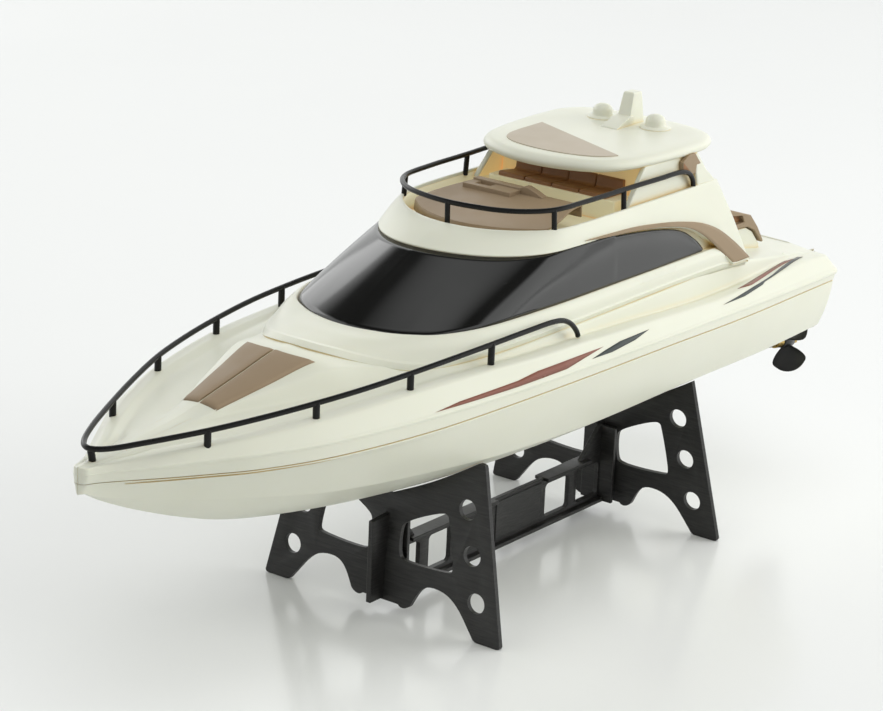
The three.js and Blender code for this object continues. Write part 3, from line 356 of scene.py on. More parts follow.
def metal(name, colour, rough, stretch):
    """Turned metal with fine marks along one direction."""
    s = Shader(name)
    marks = s.noise(500.0, 4.0, stretch)
    tint = s.mix(s.ramp(marks, 0.3, 0.7, 0.0, 1.0), colour, tuple(c * 0.75 for c in colour))
    s.bsdf.inputs["Metallic"].default_value = 1.0
    return s.finish(tint, s.ramp(marks, 0.3, 0.7, rough, rough + 0.18), s.bump(marks, 0.08, 0.0001))


CREAM = (0.75, 0.755, 0.635)
CREAM_DEEP = (0.735, 0.74, 0.615)
# Amber of the painted shade in the cream's crevices.
PAINTED_CREVICE_SHADE = (0.80, 0.60, 0.24)
mats = {
    "hull": cream_plastic("cream_hull", CREAM, CREAM_DEEP, PAINTED_CREVICE_SHADE, 0.34),
    "deck": cream_plastic("cream_deck", CREAM, CREAM_DEEP, PAINTED_CREVICE_SHADE, 0.38),
    "taupe": satin_plastic("taupe", (0.315, 0.232, 0.145), (0.295, 0.215, 0.132), 0.5),
    "pale_taupe": satin_plastic("pale_taupe", (0.505, 0.44, 0.345), (0.485, 0.42, 0.325), 0.5),
    # Amber and pale yellow copies of the cream with painted glow, standing in for light coming
    # through the plastic.
    "painted_glow": cream_plastic("cream_painted_glow", (0.84, 0.66, 0.33), (0.82, 0.63, 0.3),
                          (0.85, 0.5, 0.12), 0.4, 0.22),
    "painted_faint_glow": cream_plastic("cream_painted_faint_glow", (0.82, 0.77, 0.54), (0.8, 0.75, 0.51),
                               (0.85, 0.55, 0.16), 0.4, 0.14),
    "seat": satin_plastic("seat_brown", (0.29, 0.14, 0.055), (0.26, 0.12, 0.047), 0.48),
    "red": satin_plastic("decal_red", (0.235, 0.085, 0.055), (0.215, 0.075, 0.048), 0.32,
                         1500.0, 0.04),
    "slate": satin_plastic("decal_slate", (0.035, 0.045, 0.043), (0.03, 0.038, 0.037), 0.32,
                           1500.0, 0.04),
    "glass": glossy_black("window_black", 0.08, 0.0, 1.68),
    "rail": glossy_black("rail_black", 0.24, 0.0, 1.34),
    "propeller": glossy_black("propeller_black", 0.3, 0.1),
    "stand": grained_black("stand_black"),
    "steel": metal("bright_steel", (0.55, 0.55, 0.56), 0.2, (1, 8, 8)),
    "brass": metal("turned_brass", (0.62, 0.43, 0.13), 0.2, (8, 1, 1)),
    "dark": satin_plastic("dark_plastic", (0.02, 0.02, 0.02), (0.014, 0.014, 0.014), 0.55),
    "board": satin_plastic("board_green", (0.02, 0.12, 0.045), (0.015, 0.09, 0.035), 0.4,
                           300.0, 0.3),
    "cell": satin_plastic("cell_wrap", (0.03, 0.1, 0.32), (0.025, 0.08, 0.26), 0.25, 200.0, 0.1),
}


# ------------------------------------------------------------------ mesh helpers
def new_object(name, bm, material, body, replaces=(), sharp=38):
    """Turns a bmesh in millimetres into a piece that rides on a body."""
    bmesh.ops.remove_doubles(bm, verts=bm.verts, dist=0.002)
    bmesh.ops.recalc_face_normals(bm, faces=bm.faces)
    mesh = bpy.data.meshes.new(name)
    bm.to_mesh(mesh)
    bm.free()
    mesh.transform(Matrix.Scale(MM, 4))
    for polygon in mesh.polygons:
        polygon.use_smooth = True
    mesh.set_sharp_from_angle(angle=math.radians(sharp))
    obj = bpy.data.objects.new(name, mesh)
    bpy.context.collection.objects.link(obj)
    mesh.materials.append(mats[material])
    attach(obj, body)
    if replaces:
        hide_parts(*replaces)
    return obj


def add_grid(bm, rows, close_rows=False, flip=False):
    """Quads between consecutive rows of points."""
    verts = [[bm.verts.new(p) for p in row] for row in rows]
    n = len(rows[0])
    for a, b in zip(verts, verts[1:]):
        for i in range(n if close_rows else n - 1):
            j = (i + 1) % n
            quad = (a[i], a[j], b[j], b[i])
            bm.faces.new(tuple(reversed(quad)) if flip else quad)
    return verts


def add_cap(bm, row):
    """One face across a ring of points."""
    bm.faces.new([bm.verts.new(p) for p in row])


def mirrored_rows(rows):
    """Rows that run from port across the centre to starboard, from port half rows."""
    out = []
    for row in rows:
        other = [Vector((p[0], -p[1], p[2])) for p in reversed(row)]
        if abs(row[-1][1]) < 1e-6:
            other = other[1:]
        out.append([Vector(p) for p in row] + other)
    return out


def both_sides(port):
    """Columns from starboard aft round the front to port aft; the first port one is central."""
    starboard = [[Vector((p.x, -p.y, p.z)) for p in column] for column in reversed(port)]
    return starboard[:-1] + port


def both_halves(outline):
    """Closed outline from the port half of it."""
    return outline + [(x, -y) for x, y in reversed(outline)]


def bevel(obj, width, segments=3, angle=35):
    """Rounds the edges that are sharper than the angle."""
    made = obj.modifiers.new("edges", "BEVEL")
    made.width = width * MM
    made.segments = segments
    made.limit_method = "ANGLE"
    made.angle_limit = math.radians(angle)


def apply_modifiers(obj):
    """Turns the modified shape into the mesh of the piece."""
    graph = bpy.context.evaluated_depsgraph_get()
    mesh = bpy.data.meshes.new_from_object(obj.evaluated_get(graph), depsgraph=graph)
    obj.modifiers.clear()
    obj.data = mesh


def thicken(obj, thickness):
    """Gives a skin a wall of the given thickness behind it."""
    made = obj.modifiers.new("thickness", "SOLIDIFY")
    made.thickness = thickness * MM
    made.offset = -1.0
    apply_modifiers(obj)


def cut_with(obj, cutter_bm):
    """Takes the cutter's shape out of the piece, at once."""
    bmesh.ops.recalc_face_normals(cutter_bm, faces=cutter_bm.faces)
    mesh = bpy.data.meshes.new("cutter")
    cutter_bm.to_mesh(mesh)
    cutter_bm.free()
    mesh.transform(Matrix.Scale(MM, 4))
    cutter = bpy.data.objects.new("cutter", mesh)
    bpy.context.collection.objects.link(cutter)
    made = obj.modifiers.new("cut", "BOOLEAN")
    made.operation = "DIFFERENCE"
    made.object = cutter
    made.solver = "EXACT"
    apply_modifiers(obj)
    bpy.data.objects.remove(cutter)
    bpy.data.meshes.remove(mesh)


def rectangle(a0, a1, b0, b1):
    """Corners of a rectangle from its range along each of the two axes."""
    return [(a0, b0), (a1, b0), (a1, b1), (a0, b1)]


def prism_bm(outline, low, high, axis="z", bm=None):
    """Extruded outline: (x, y) for axis z, (x, z) for axis y, (y, z) for axis x."""
    bm = bm or bmesh.new()

    def place(p, h):
        if axis == "z":
            return (p[0], p[1], h)
        if axis == "y":
            return (p[0], h, p[1])
        return (h, p[0], p[1])

    bottom = [bm.verts.new(place(p, low)) for p in outline]
    top = [bm.verts.new(place(p, high)) for p in outline]
    n = len(outline)
    bm.faces.new(bottom)
    bm.faces.new(list(reversed(top)))
    for i in range(n):
        j = (i + 1) % n
        bm.faces.new((bottom[i], top[i], top[j], bottom[j]))
    return bm


def block(name, bm, material, body, edge, segments=3, angle=35, replaces=(), sharp=38):
    """A piece with rounded edges."""
    obj = new_object(name, bm, material, body, replaces, sharp)
    bevel(obj, edge, segments, angle)
    return obj


def rail_tube(name, points, radius, body, steps, replaces=()):
    """Round black bar along a smooth curve, with softly domed ends."""
    sides = 20
    dome = 0.35
    path = catmull(points, steps)
    bm = bmesh.new()
    rows = []
    tangents = []
    for i, p in enumerate(path):
        a, b = path[max(0, i - 1)], path[min(len(path) - 1, i + 1)]
        tangents.append((b - a).normalized())
    up = Vector((0, 0, 1)) if abs(tangents[0].z) < 0.9 else Vector((1, 0, 0))
    side = tangents[0].cross(up).normalized()
    for p, t in zip(path, tangents):
        side = (side - t * side.dot(t)).normalized()
        other = t.cross(side)
        rows.append([p + (side * math.cos(2 * math.pi * k / sides)
                          + other * math.sin(2 * math.pi * k / sides)) * radius
                     for k in range(sides)])
    for index, direction in ((0, -1), (-1, 1)):
        centre, t = path[index], tangents[index] * direction
        ring = rows[index]
        extra = []
        for share in (0.35, 0.7, 0.92):
            lift = radius * dome * math.sin(share * math.pi / 2)
            shrink = math.cos(share * math.pi / 2)
            extra.append([centre + (q - centre) * shrink + t * lift for q in ring])
        if index == 0:
            rows = list(reversed(extra)) + rows
        else:
            rows = rows + extra
    add_grid(bm, rows, close_rows=True)
    add_cap(bm, rows[0])
    add_cap(bm, rows[-1])
    new_object(name, bm, "rail", body, replaces)


# ------------------------------------------------------------------ hull
def station_x(x, z):
    """The last stations lean: they come forward below the transom's head and above it."""
    if x > LEAN_START_X:
        return x
    share = smoothstep(LEAN_START_X, STERN_X, x)
    below = min(1.0, max(0.0, (TRANSOM_HEAD_Z - z) / (TRANSOM_HEAD_Z - TRANSOM_FOOT_Z)))
    above = min(1.0, max(0.0, (z - TRANSOM_HEAD_Z - 2) / 8))
    lean = max(below, above * above)
    return x + share * lean * (TRANSOM_FOOT_X - STERN_X)


def on_station(x, y, z):
    """Point of a section; the sections pull in at the stern's rounded corners."""
    turn = min(1.0, max(0.0, (STERN_X + 9 - x) / 9))
    return Vector((station_x(x, z), y * (1 - 0.13 * turn ** 2.2), z))


def bow_stations(n_mid, n_bow):
    """Station positions, closer together towards the stem."""
    out = spaced(STERN_X, LEAN_START_X, 9)[:-1]
    out += spaced(LEAN_START_X, FINE_X, n_mid)[:-1]
    for t in spaced(0, 1, n_bow):
        out.append(FINE_X + (NOSE_X - FINE_X) * (1 - (1 - t) ** 1.5))
    return out


def nose_scale(x):
    """Shrinks the seam's small steps towards the stem."""
    return min(1.0, 0.12 + (BOW_X - x) / 30)


def hull_half(x):
    """Outer skin of the hull at x, from the seam down the side to the keel."""
    seam_y, seam_z = along(SEAM_Y, x), along(SEAM_Z, x)
    chine_y, chine_z = along(CHINE_Y, x), along(CHINE_Z, x)
    keel_z = min(chine_z - 0.3, along(KEEL_Z, x))
    k = nose_scale(x)
    side = []
    flare = 1.3 * smoothstep(230, 60, x)
    hollow = -1.4 * smoothstep(90, 170, x) * smoothstep(228, 190, x)
    for i in range(1, 10):
        t = i / 10
        swell = math.sin(t * math.pi) * (flare + hollow)
        side.append((on_station(x, min(HALF_BEAM, seam_y + (chine_y - seam_y) * t + swell),
                                seam_z + (chine_z - seam_z) * t), 0, 0))
    corners = [
        (on_station(x, seam_y - 2.2 * k, seam_z - 0.6), 0, 0),
        (on_station(x, seam_y - 0.5 * k, seam_z - 0.42), 0.2 * k, 0),
        (on_station(x, seam_y, seam_z - 0.6), 0.15 * k, 0),
        (on_station(x, seam_y - 0.02, seam_z - 0.8), 0, 0),
        *side,
        (on_station(x, chine_y, chine_z), 0.7 * k, 0),
    ]
    for i in range(1, 9):
        t = i / 9
        belly = -math.sin(t * math.pi) * 1.5 * smoothstep(225, 120, x)
        corners.append((on_station(x, chine_y * (1 - t), chine_z + (keel_z - chine_z) * t
                                   + belly), 0, 0))
    corners.append((on_station(x, 0, keel_z), 0, 0))
    return rounded(corners, 4)


def blunt_nose(rows):
    """Adds rows that round the last section in to the centre line."""
    last = rows[-1]
    out = list(rows)
    for share in (0.35, 0.65, 0.87, 0.98):
        angle = share * math.pi / 2
        out.append([Vector((p.x + (NOSE_END_X - p.x) * math.sin(angle), p.y * math.cos(angle), p.z))
                    for p in last])
    return out


def thicken_shell(obj, thickness):
    """Gives a hull or deck skin its wall, inwards, and keeps it inside the narrow nose."""
    mesh = obj.data
    middle = sum(v.co.z for v in mesh.vertices) / len(mesh.vertices)
    outward = sum(p.normal.y * p.center.y + p.normal.z * (p.center.z - middle)
                  for p in mesh.polygons)
    if outward < 0:
        mesh.flip_normals()
    outer = len(mesh.vertices)
    thicken(obj, thickness)
    draw_in = 1.1 * MM
    narrow_from = (NOSE_X - 12) * MM
    for v in obj.data.vertices[outer:]:
        v.co.y -= math.copysign(min(abs(v.co.y) * 0.5, draw_in), v.co.y)
        if v.co.x > narrow_from:
            v.co.x = min(v.co.x, NOSE_X * MM)
            v.co.y *= 0.4


def closing_strips(edge, across):
    """Rows that join each point of a section's port side to its starboard twin."""
    half = len(edge) // 2
    return [[edge[i].lerp(edge[-1 - i], t) for t in spaced(0, 1, across)] for i in range(half + 1)]


def build_hull():
    """Skin of the hull from the transom to the blunt stem."""
    rows = blunt_nose(mirrored_rows([hull_half(x) for x in bow_stations(96, 34)]))
    bm = bmesh.new()
    add_grid(bm, rows)
    hull = new_object("hull_skin", bm, "hull", "boat", ["hull_shell"], sharp=50)
    thicken_shell(hull, HULL_WALL)
    build_transom(rows[0])


def build_transom(edge):
    """Closes the stern, a little inside its rounded edge."""
    centre_z = 84
    rings = [[p.copy() for p in edge]]
    for inset, depth in ((0.5, -0.25), (1.2, -0.35)):
        ring = []
        for p in edge:
            toward = Vector((0, -p.y, centre_z - p.z)).normalized()
            ring.append(p + toward * inset + Vector((depth, 0, 0)))
        rings.append(ring)
    bm = bmesh.new()
    add_grid(bm, rings)
    add_grid(bm, closing_strips(rings[-1], 13))
    transom = new_object("hull_transom", bm, "hull", "boat", sharp=50)
    thicken(transom, HULL_WALL)


# ------------------------------------------------------------------ deck
def deck_lines(x):
    """Lip, sheer and inner edge of the deck at x, each as half breadth and height."""
    pairs = ((LIP_Y, LIP_Z), (SHEER_Y, SHEER_Z), (INNER_Y, INNER_Z))
    return [(along(breadths, x), along(heights, x)) for breadths, heights in pairs]


def strake_share(x):
    """0 amidships, 1 where the lip has swollen into the aft strake."""
    return smoothstep(-90, -205, x)


def deck_half(x):
    """Outer skin of the deck moulding at x, from the seam up over the sheer to the centre."""
    seam_y, seam_z = along(SEAM_Y, x), along(SEAM_Z, x)
    (lip_y, lip_z), (sheer_y, sheer_z), (inner_y, inner_z) = deck_lines(x)
    panel_y, panel_z = along(PANEL_Y, x), along(PANEL_Z, x)
    crown_z = along(CROWN_Z, x)
    k = nose_scale(x)
    aft = strake_share(x)
    strake = 0.9 * aft
    width = sheer_y - inner_y
    fine = min(1.0, width / 9)
    drop = 1.3 * fine * (1 - aft)
    corners = [
        (on_station(x, seam_y - 2.4 * k, seam_z + 1.2), 0, 0),
        (on_station(x, seam_y - 0.7 * k, seam_z - 0.3), 0.2 * k, 0),
        (on_station(x, seam_y + 0.05 * k, seam_z - 0.05), 0.25 * k, 3),
        (on_station(x, lip_y - 0.35 * k + strake * 0.3, lip_z - 1.0 * k - strake), 0.3 * k, 0),
        (on_station(x, lip_y + strake, lip_z - 0.5 * k - strake * 0.7), 0.35 * k, 0),
        (on_station(x, lip_y + strake * 0.9, lip_z + 0.35 * k), 0.45 * k, 0),
        (on_station(x, lip_y - 0.75 * k, lip_z + 0.8 * k + strake), 0.5 * k, 5),
        (on_station(x, sheer_y + 0.2 * k, sheer_z - 0.25 * k), 1.0 * k, 0),
        (on_station(x, sheer_y - min(1.2, 0.15 * width), sheer_z + 0.3 * fine), 0.8 * k, 2),
        (on_station(x, sheer_y - min(5.4, 0.5 * width), sheer_z + 0.45 * fine), 1.0 * k, 0),
        (on_station(x, sheer_y - min(9.4, 0.86 * width), sheer_z + 0.4 - drop), 1.3 * k, 2),
        (on_station(x, inner_y, inner_z), 1.0 * k, 3),
        (on_station(x, panel_y, panel_z), 0.9 * k, 4),
        (on_station(x, panel_y * 0.6, crown_z - 0.35 * (crown_z - panel_z)), 4.0 * k, 4),
        (on_station(x, 0, crown_z), 0, 0),
    ]
    return rounded(corners, 4)


def deck_z(x, y):
    """Height of the deck at a point, found on the section's polyline."""
    half = deck_half(x)
    best = half[-1].z
    for a, b in zip(half, half[1:]):
        if b.y <= abs(y) <= a.y and b.z > along(SEAM_Z, x) + 3:
            t = (a.y - abs(y)) / max(1e-6, a.y - b.y)
            best = a.z + (b.z - a.z) * t
    return best


def deck_skin_point(x, place):
    """Point on the port side of the deck moulding: 0 at the lip, 1 at the sheer, 5 inboard."""
    (lip_y, lip_z), (sheer_y, sheer_z), (inner_y, inner_z) = deck_lines(x)
    aft = strake_share(x)
    width = sheer_y - inner_y
    drop = 1.3 * (1 - aft)
    corners = [(lip_y - 0.75, lip_z + 0.8 + 0.9 * aft), (sheer_y + 0.2, sheer_z - 0.25),
               (sheer_y - min(1.2, 0.15 * width), sheer_z + 0.3),
               (sheer_y - min(5.4, 0.5 * width), sheer_z + 0.45),
               (sheer_y - min(9.4, 0.86 * width), sheer_z + 0.4 - drop),
               (inner_y, inner_z)]
    i = min(4, int(place))
    t = place - i
    (y0, z0), (y1, z1) = corners[i], corners[i + 1]
    return on_station(x, y0 + (y1 - y0) * t, z0 + (z1 - z0) * t)


def build_deck():
    """Skin of the deck moulding, with its opening and its stern wall."""
    rows = blunt_nose(mirrored_rows([deck_half(x) for x in bow_stations(130, 44)]))
    bm = bmesh.new()
    add_grid(bm, rows)
    deck = new_object("deck_skin", bm, "deck", "boat", ["deck_shell"], sharp=50)
    thicken_shell(deck, DECK_WALL)
    # Opening under the cabin cover, a margin inside the cover's foot.
    margin = 4.5
    outline = [(p.x - margin * (p.x > 80), p.y - margin) for p in catmull(FOOT, 30)]
    outline = [(x, y) for x, y in outline if y > 1.0] + [(-128, 42)]
    cut_with(deck, prism_bm(both_halves(outline), 112, 150))
    # Stern wall of the deck moulding.
    bm = bmesh.new()
    add_grid(bm, closing_strips(rows[0], 25))
    stern = new_object("deck_stern", bm, "deck", "boat", sharp=50)
    thicken(stern, 1.2)


def build_hatch():
    """Brown foredeck hatch: two leaves with bevelled front and side edges and a centre gap."""
    front_x = 166
    front_half = 8.6
    aft_half = 17.2
    gap = 0.4
    rise = 0.95
    for word, side in SIDES:
        bm = bmesh.new()
        columns = []
        for t in spaced(0, 1, 44):
            outer = front_half + (aft_half - front_half) * t
            ends = smoothstep(0.0, 0.035, t) * smoothstep(1.0, 0.985, t)
            span = [gap, gap + 0.3] + spaced(gap + 1.5, outer - 1.6, 6) + [outer - 1.2, outer]
            lifts = [0.0, 0.7] + [rise] * 6 + [0.9, 0.0]
            row = []
            for y, lift in zip(span, lifts):
                aft_x = 122.2 - 3.7 * (y / aft_half) ** 2
                x = front_x + (aft_x - front_x) * t
                row.append(Vector((x, side * y, deck_z(x, y) + lift * ends + 0.05)))
            columns.append(row)
        add_grid(bm, columns)
        leaf = new_object(f"hatch_leaf_{word}", bm, "taupe", "boat",
                          ["foredeck_hatch"] if side > 0 else (), sharp=28)
        thicken(leaf, 0.8)


# ------------------------------------------------------------------ cabin cover
def wall_y(x, z):
    """Half breadth of the side wall aft of JOIN_X."""
    return along(sorted((station, along(line, z)) for station, line in WALL_Y), x)


FRONT_COLUMNS = 92
FRONT_SPLIT = 62  # columns up to the corner of each outline
SIDE_COLUMNS = 84


def even(points, count):
    """count points evenly spaced along the smooth curve through points."""
    fine = catmull(points, 40 * len(points))
    lengths = [0.0]
    for a, b in zip(fine, fine[1:]):
        lengths.append(lengths[-1] + (b - a).length)
    out = []
    i = 0
    for j in range(count):
        target = lengths[-1] * j / (count - 1)
        while i < len(fine) - 2 and lengths[i + 1] < target:
            i += 1
        span = max(1e-9, lengths[i + 1] - lengths[i])
        out.append(fine[i].lerp(fine[i + 1], min(1.0, (target - lengths[i]) / span)))
    return out


def ring_points(control, corner):
    """Port half outline with matching column counts before and after its corner."""
    fine = catmull(control, 60 * len(control))
    split = int(corner / (len(control) - 1) * (len(fine) - 1))
    front = even(fine[:split + 1:12] + [fine[split]], FRONT_SPLIT)
    side = even([fine[split]] + fine[split + 12::12] + [fine[-1]],
                FRONT_COLUMNS - FRONT_SPLIT + 1)
    return front + side[1:]


def side_x(s, z):
    """x of side column s (0 at JOIN_X, 1 at the aft edge of the wing) at height z."""
    return JOIN_X + s * (along(WING_AFT, z) - JOIN_X)


def side_level(s, line, guess):
    """Height at which side column s meets a line of (x, z) pairs."""
    z = guess
    for _ in range(12):
        z = along(line, max(line[0][0], side_x(s, z)))
    return z


def wing_plate(x):
    """How far the wing's raised plate stands proud of the side wall."""
    return 0.9 * smoothstep(-60, -110, x)


def wall_profile(foot, sill, brow, rim, tangent, recess, plate):
    """Section of the cover: skirt, band, ledge, glazing recess, coaming and the well's wall."""
    def facing(a, b):
        normal = (b - a).cross(tangent)
        if normal.length < 1e-6:
            return Vector((0, 1, 0))
        normal.normalize()
        outward = Vector((tangent.y, -tangent.x, 0)) + Vector((0, 0, 0.5))
        return normal if normal.dot(outward) > 0 else -normal

    band = facing(foot, sill)
    glass = facing(sill, brow) if (brow - sill).length > 1 else band
    coaming = facing(brow, rim)
    inward = -Vector((tangent.y, -tangent.x, 0)).normalized()
    rise = sill - foot
    lip = min(1.6, rise.length * 0.2)
    up_glass = (brow - sill).normalized() if (brow - sill).length > 0.01 else Vector((0, 0, 1))
    corners = [
        (foot + inward * 1.0 + Vector((0, 0, -2.2)), 0, 0),
        (foot, 0.3, 0),
        (foot + rise * 0.13 + band * 0.95, 0.5, 0),
        (foot + rise * 0.2 + band * 0.6, 0.5, 3),
        (foot + rise * 0.6 + band * 1.5, 3.0, 3),
        (sill - rise.normalized() * lip + band * 0.9, 0.7, 0),
        (sill + band * 0.15, 0.25, 0),
        (sill - glass * recess + up_glass * 0.2, 0.1, 6),
        (brow - glass * recess - up_glass * 0.2, 0.1, 0),
        (brow + coaming * plate * 0.5 - up_glass * 0.05, 0.2, 0),
        (brow + coaming * (plate + 0.15) + up_glass * 0.35, 0.3, 3),
        (brow.lerp(rim, 0.5) + coaming * (plate * 0.8 + 0.6), 3.0, 3),
        (rim + coaming * plate * 0.3, 0.5, 0),
        (rim + inward * 1.3, 0.5, 0),
        (rim + inward * 1.7 + Vector((0, 0, WELL_FLOOR_Z - rim.z - 1.0)), 0, 0),
    ]
    return rounded(corners, 4)


def front_column(i):
    """Section of the cover at column i of its rounded front."""
    foot, sill, brow, rim = (ring[i] for ring in FRONT_RINGS)
    sill_ring = FRONT_RINGS[1]
    if i == 0:
        tangent = Vector((0, 1, 0))
    elif i == FRONT_COLUMNS - 1:
        tangent = Vector((-1, 0, 0))
    else:
        tangent = sill_ring[i + 1] - sill_ring[i - 1]
        tangent.z = 0
        tangent.normalize()
    glass_recess = 2.1
    return wall_profile(foot, sill, brow, rim, tangent, glass_recess, 0.0)


def side_column(s):
    """Section of the cover at side column s."""
    def wall(z):
        x = side_x(s, z)
        return Vector((x, wall_y(x, z), z))

    x_mid = side_x(s, MID_Z)
    base_z = along([(-146, 121.8), (-121, 123.9), (-90, 124.4), (-42, 124.2)], x_mid)
    arch_z = min(154.6, side_level(s, ARCH_IN, MID_Z))
    sill_z = min(SILL_Z, max(base_z + 0.3, arch_z - 0.05))
    brow_z = max(sill_z + 0.05, arch_z)
    near_tip = smoothstep(-128, -120, x_mid)
    recess = 0.15 + (1.95 + 0.7 * smoothstep(-60, -105, x_mid)) * near_tip
    return wall_profile(wall(base_z), wall(sill_z), wall(brow_z), wall(RIM_Z),
                        Vector((-1, 0, 0)), recess, wing_plate(x_mid))


FRONT_RINGS = [ring_points(c, k) for c, k in zip((FOOT, SILL, BROW, RIM), RING_CORNERS)]


def build_cabin_cover():
    """Shell of the lift-off cover, from wing to wing round the front."""
    port = [front_column(i) for i in range(FRONT_COLUMNS)]
    port += [side_column(s) for s in spaced(0, 1, SIDE_COLUMNS)[1:]]
    columns = both_sides(port)
    bm = bmesh.new()
    add_grid(bm, columns)
    cover = new_object("cabin_shell", bm, "deck", "cabin", ["cabin_cover"], sharp=50)
    thicken(cover, COVER_WALL)
    build_well(columns)
    build_aft_wall()


def build_well(columns):
    """Floor of the flybridge well, and a warm thin sheet on its wall; both carry painted glow,
    standing in for light coming through the wall.
    """
    well_middle = Vector((-80, 0, 0))
    proud = 0.2
    feet = [column[-1] for column in columns]
    rows = []
    for i, column in enumerate(columns):
        run = feet[min(i + 1, len(feet) - 1)] - feet[max(i - 1, 0)]
        inwards = Vector((-run.y, run.x, 0)).normalized()
        if inwards.dot(well_middle - Vector((feet[i].x, feet[i].y, 0))) < 0:
            inwards = -inwards
        top = column[-2] + inwards * proud - Vector((0, 0, 0.7))
        rows.append([column[-1] + inwards * proud, top])
    bm = bmesh.new()
    add_grid(bm, rows)
    # Thin sheet on the well's inner wall that only carries painted glow.
    glow_sheet = new_object("well_lining", bm, "painted_faint_glow", "cabin")
    thicken(glow_sheet, proud)
    inside = [(p.x - 1.5, p.y - 1.9) for p in FRONT_RINGS[3]]
    outline = [(x, y) for x, y in inside if y > 0.2] + [(-122, 41.6), (-126, 41)]
    bm = prism_bm(both_halves(outline), WELL_FLOOR_Z - 1.4, WELL_FLOOR_Z)
    # The floor carries painted faint glow.
    block("fly_floor", bm, "painted_faint_glow", "cabin", 0.4)


def build_aft_wall():
    """Bulkhead under the flybridge, with a pair of framed dark doors."""
    wall = [(-44, 124.6), (44, 124.6), (42.6, 150), (-42.6, 150)]
    block("aft_bulkhead", prism_bm(wall, -127.5, -126, "x"), "deck", "cabin", 0.4)
    for word, side in SIDES:
        door = [(side * y, z) for y, z in ((1, 126.5), (17, 126.5), (17, 146), (1, 146))]
        block(f"saloon_door_{word}", prism_bm(door, -128.2, -127.6, "x"), "glass", "cabin",
              0.8, 4)
        frame_edge = [(side * y, z) for y, z in ((0.2, 125.4), (18.2, 125.4), (18.2, 147.2),
                                                 (0.2, 147.2))]
        block(f"saloon_frame_{word}", prism_bm(frame_edge, -127.9, -127.45, "x"), "taupe",
              "cabin", 0.25)


def front_glass_point(column, t):
    """Point on the outer face of the glazing ahead of JOIN_X, t up from the sill."""
    ring = FRONT_RINGS[1]
    sill, brow = ring[column], FRONT_RINGS[2][column]
    tangent = Vector((0, 1, 0))
    if column == FRONT_COLUMNS - 1:
        tangent = Vector((-1, 0, 0))
    elif column:
        tangent = (ring[column + 1] - ring[column - 1]).normalized()
    normal = (brow - sill).cross(tangent).normalized()
    if normal.z + normal.y < 0:
        normal = -normal
    return sill.lerp(brow, t) + normal * (math.sin(t * math.pi) * 0.5 - 0.55)


def side_glass_point(s, t):
    """Point on the outer face of the side window in side column s, t up from the sill."""
    foot_z = SILL_Z - 0.1
    top = min(154.4, side_level(s, GLASS_TOP, 145))
    z = foot_z + (top - foot_z) * t
    x = side_x(s, z)
    sunk = 0.55 + 0.6 * smoothstep(-70, GLASS_TIP_X, x)
    return Vector((x, wall_y(x, z) - sunk + math.sin(t * math.pi) * 0.4, z))


def build_glazing():
    """Black windshield and side windows in one wraparound piece."""
    levels = spaced(0, 1, 15)
    port = [[front_glass_point(i, t) for t in levels] for i in range(FRONT_COLUMNS)]
    for s in spaced(0, 1, 81)[1:-1]:
        if side_x(s, 134) < GLASS_TIP_X + 0.2:
            break
        port.append([side_glass_point(s, t) for t in levels])
    tip = Vector((GLASS_TIP_X, wall_y(GLASS_TIP_X, 134) - 1.0, 133.9))
    port.append([tip.copy() for _ in levels])
    bm = bmesh.new()
    add_grid(bm, both_sides(port))
    glass = new_object("wraparound_glazing", bm, "glass", "cabin", ["cabin_glazing"])
    thicken(glass, 1.0)


def wing_surface_y(x, z):
    """Half breadth of the outer face of the upper band and the wing."""
    s = (x - JOIN_X) / (along(WING_AFT, z) - JOIN_X)
    plate = wing_plate(side_x(s, MID_Z))
    low = along(ARCH_IN, x) if x > ARCH_IN[0][0] else ARCH_IN[0][1]
    t = min(1.0, max(0.0, (z - low) / (RIM_Z - low)))
    foot, middle, head = plate + 0.15, plate * 0.8 + 0.6, plate * 0.3
    if t < 0.5:
        lift = foot + (middle - foot) * t * 2
    else:
        lift = middle + (head - middle) * (t * 2 - 1)
    return wall_y(x, z) + lift


def build_arches():
    """Brown arch bands, lying just proud of the cream wings, with a cream margin inside."""
    steps = 90
    margin = 0.75
    outer_line = catmull([(x, 0, z) for x, z in ARCH_OUT], steps)
    inner_line = catmull([(x, 0, z + margin) for x, z in ARCH_IN], steps)
    for word, side in SIDES:
        bm = bmesh.new()
        columns = []
        for outer, inner in zip(reversed(outer_line), reversed(inner_line)):
            inner = Vector((inner.x, 0, min(inner.z, outer.z - 0.1)))
            points = [inner.lerp(outer, t) for t in spaced(0, 1, 6)]
            columns.append([Vector((p.x, side * (wing_surface_y(p.x, p.z) + 0.3), p.z))
                            for p in points])
        add_grid(bm, columns)
        arch = new_object(f"arch_band_{word}", bm, "taupe", "cabin",
                          [f"arch_trim_{word}"], sharp=60)
        thicken(arch, 0.4)


# ------------------------------------------------------------------ flybridge
def build_flybridge():
    """Helm dash, console and the bench behind it."""
    build_dash()
    build_console()
    build_bench()


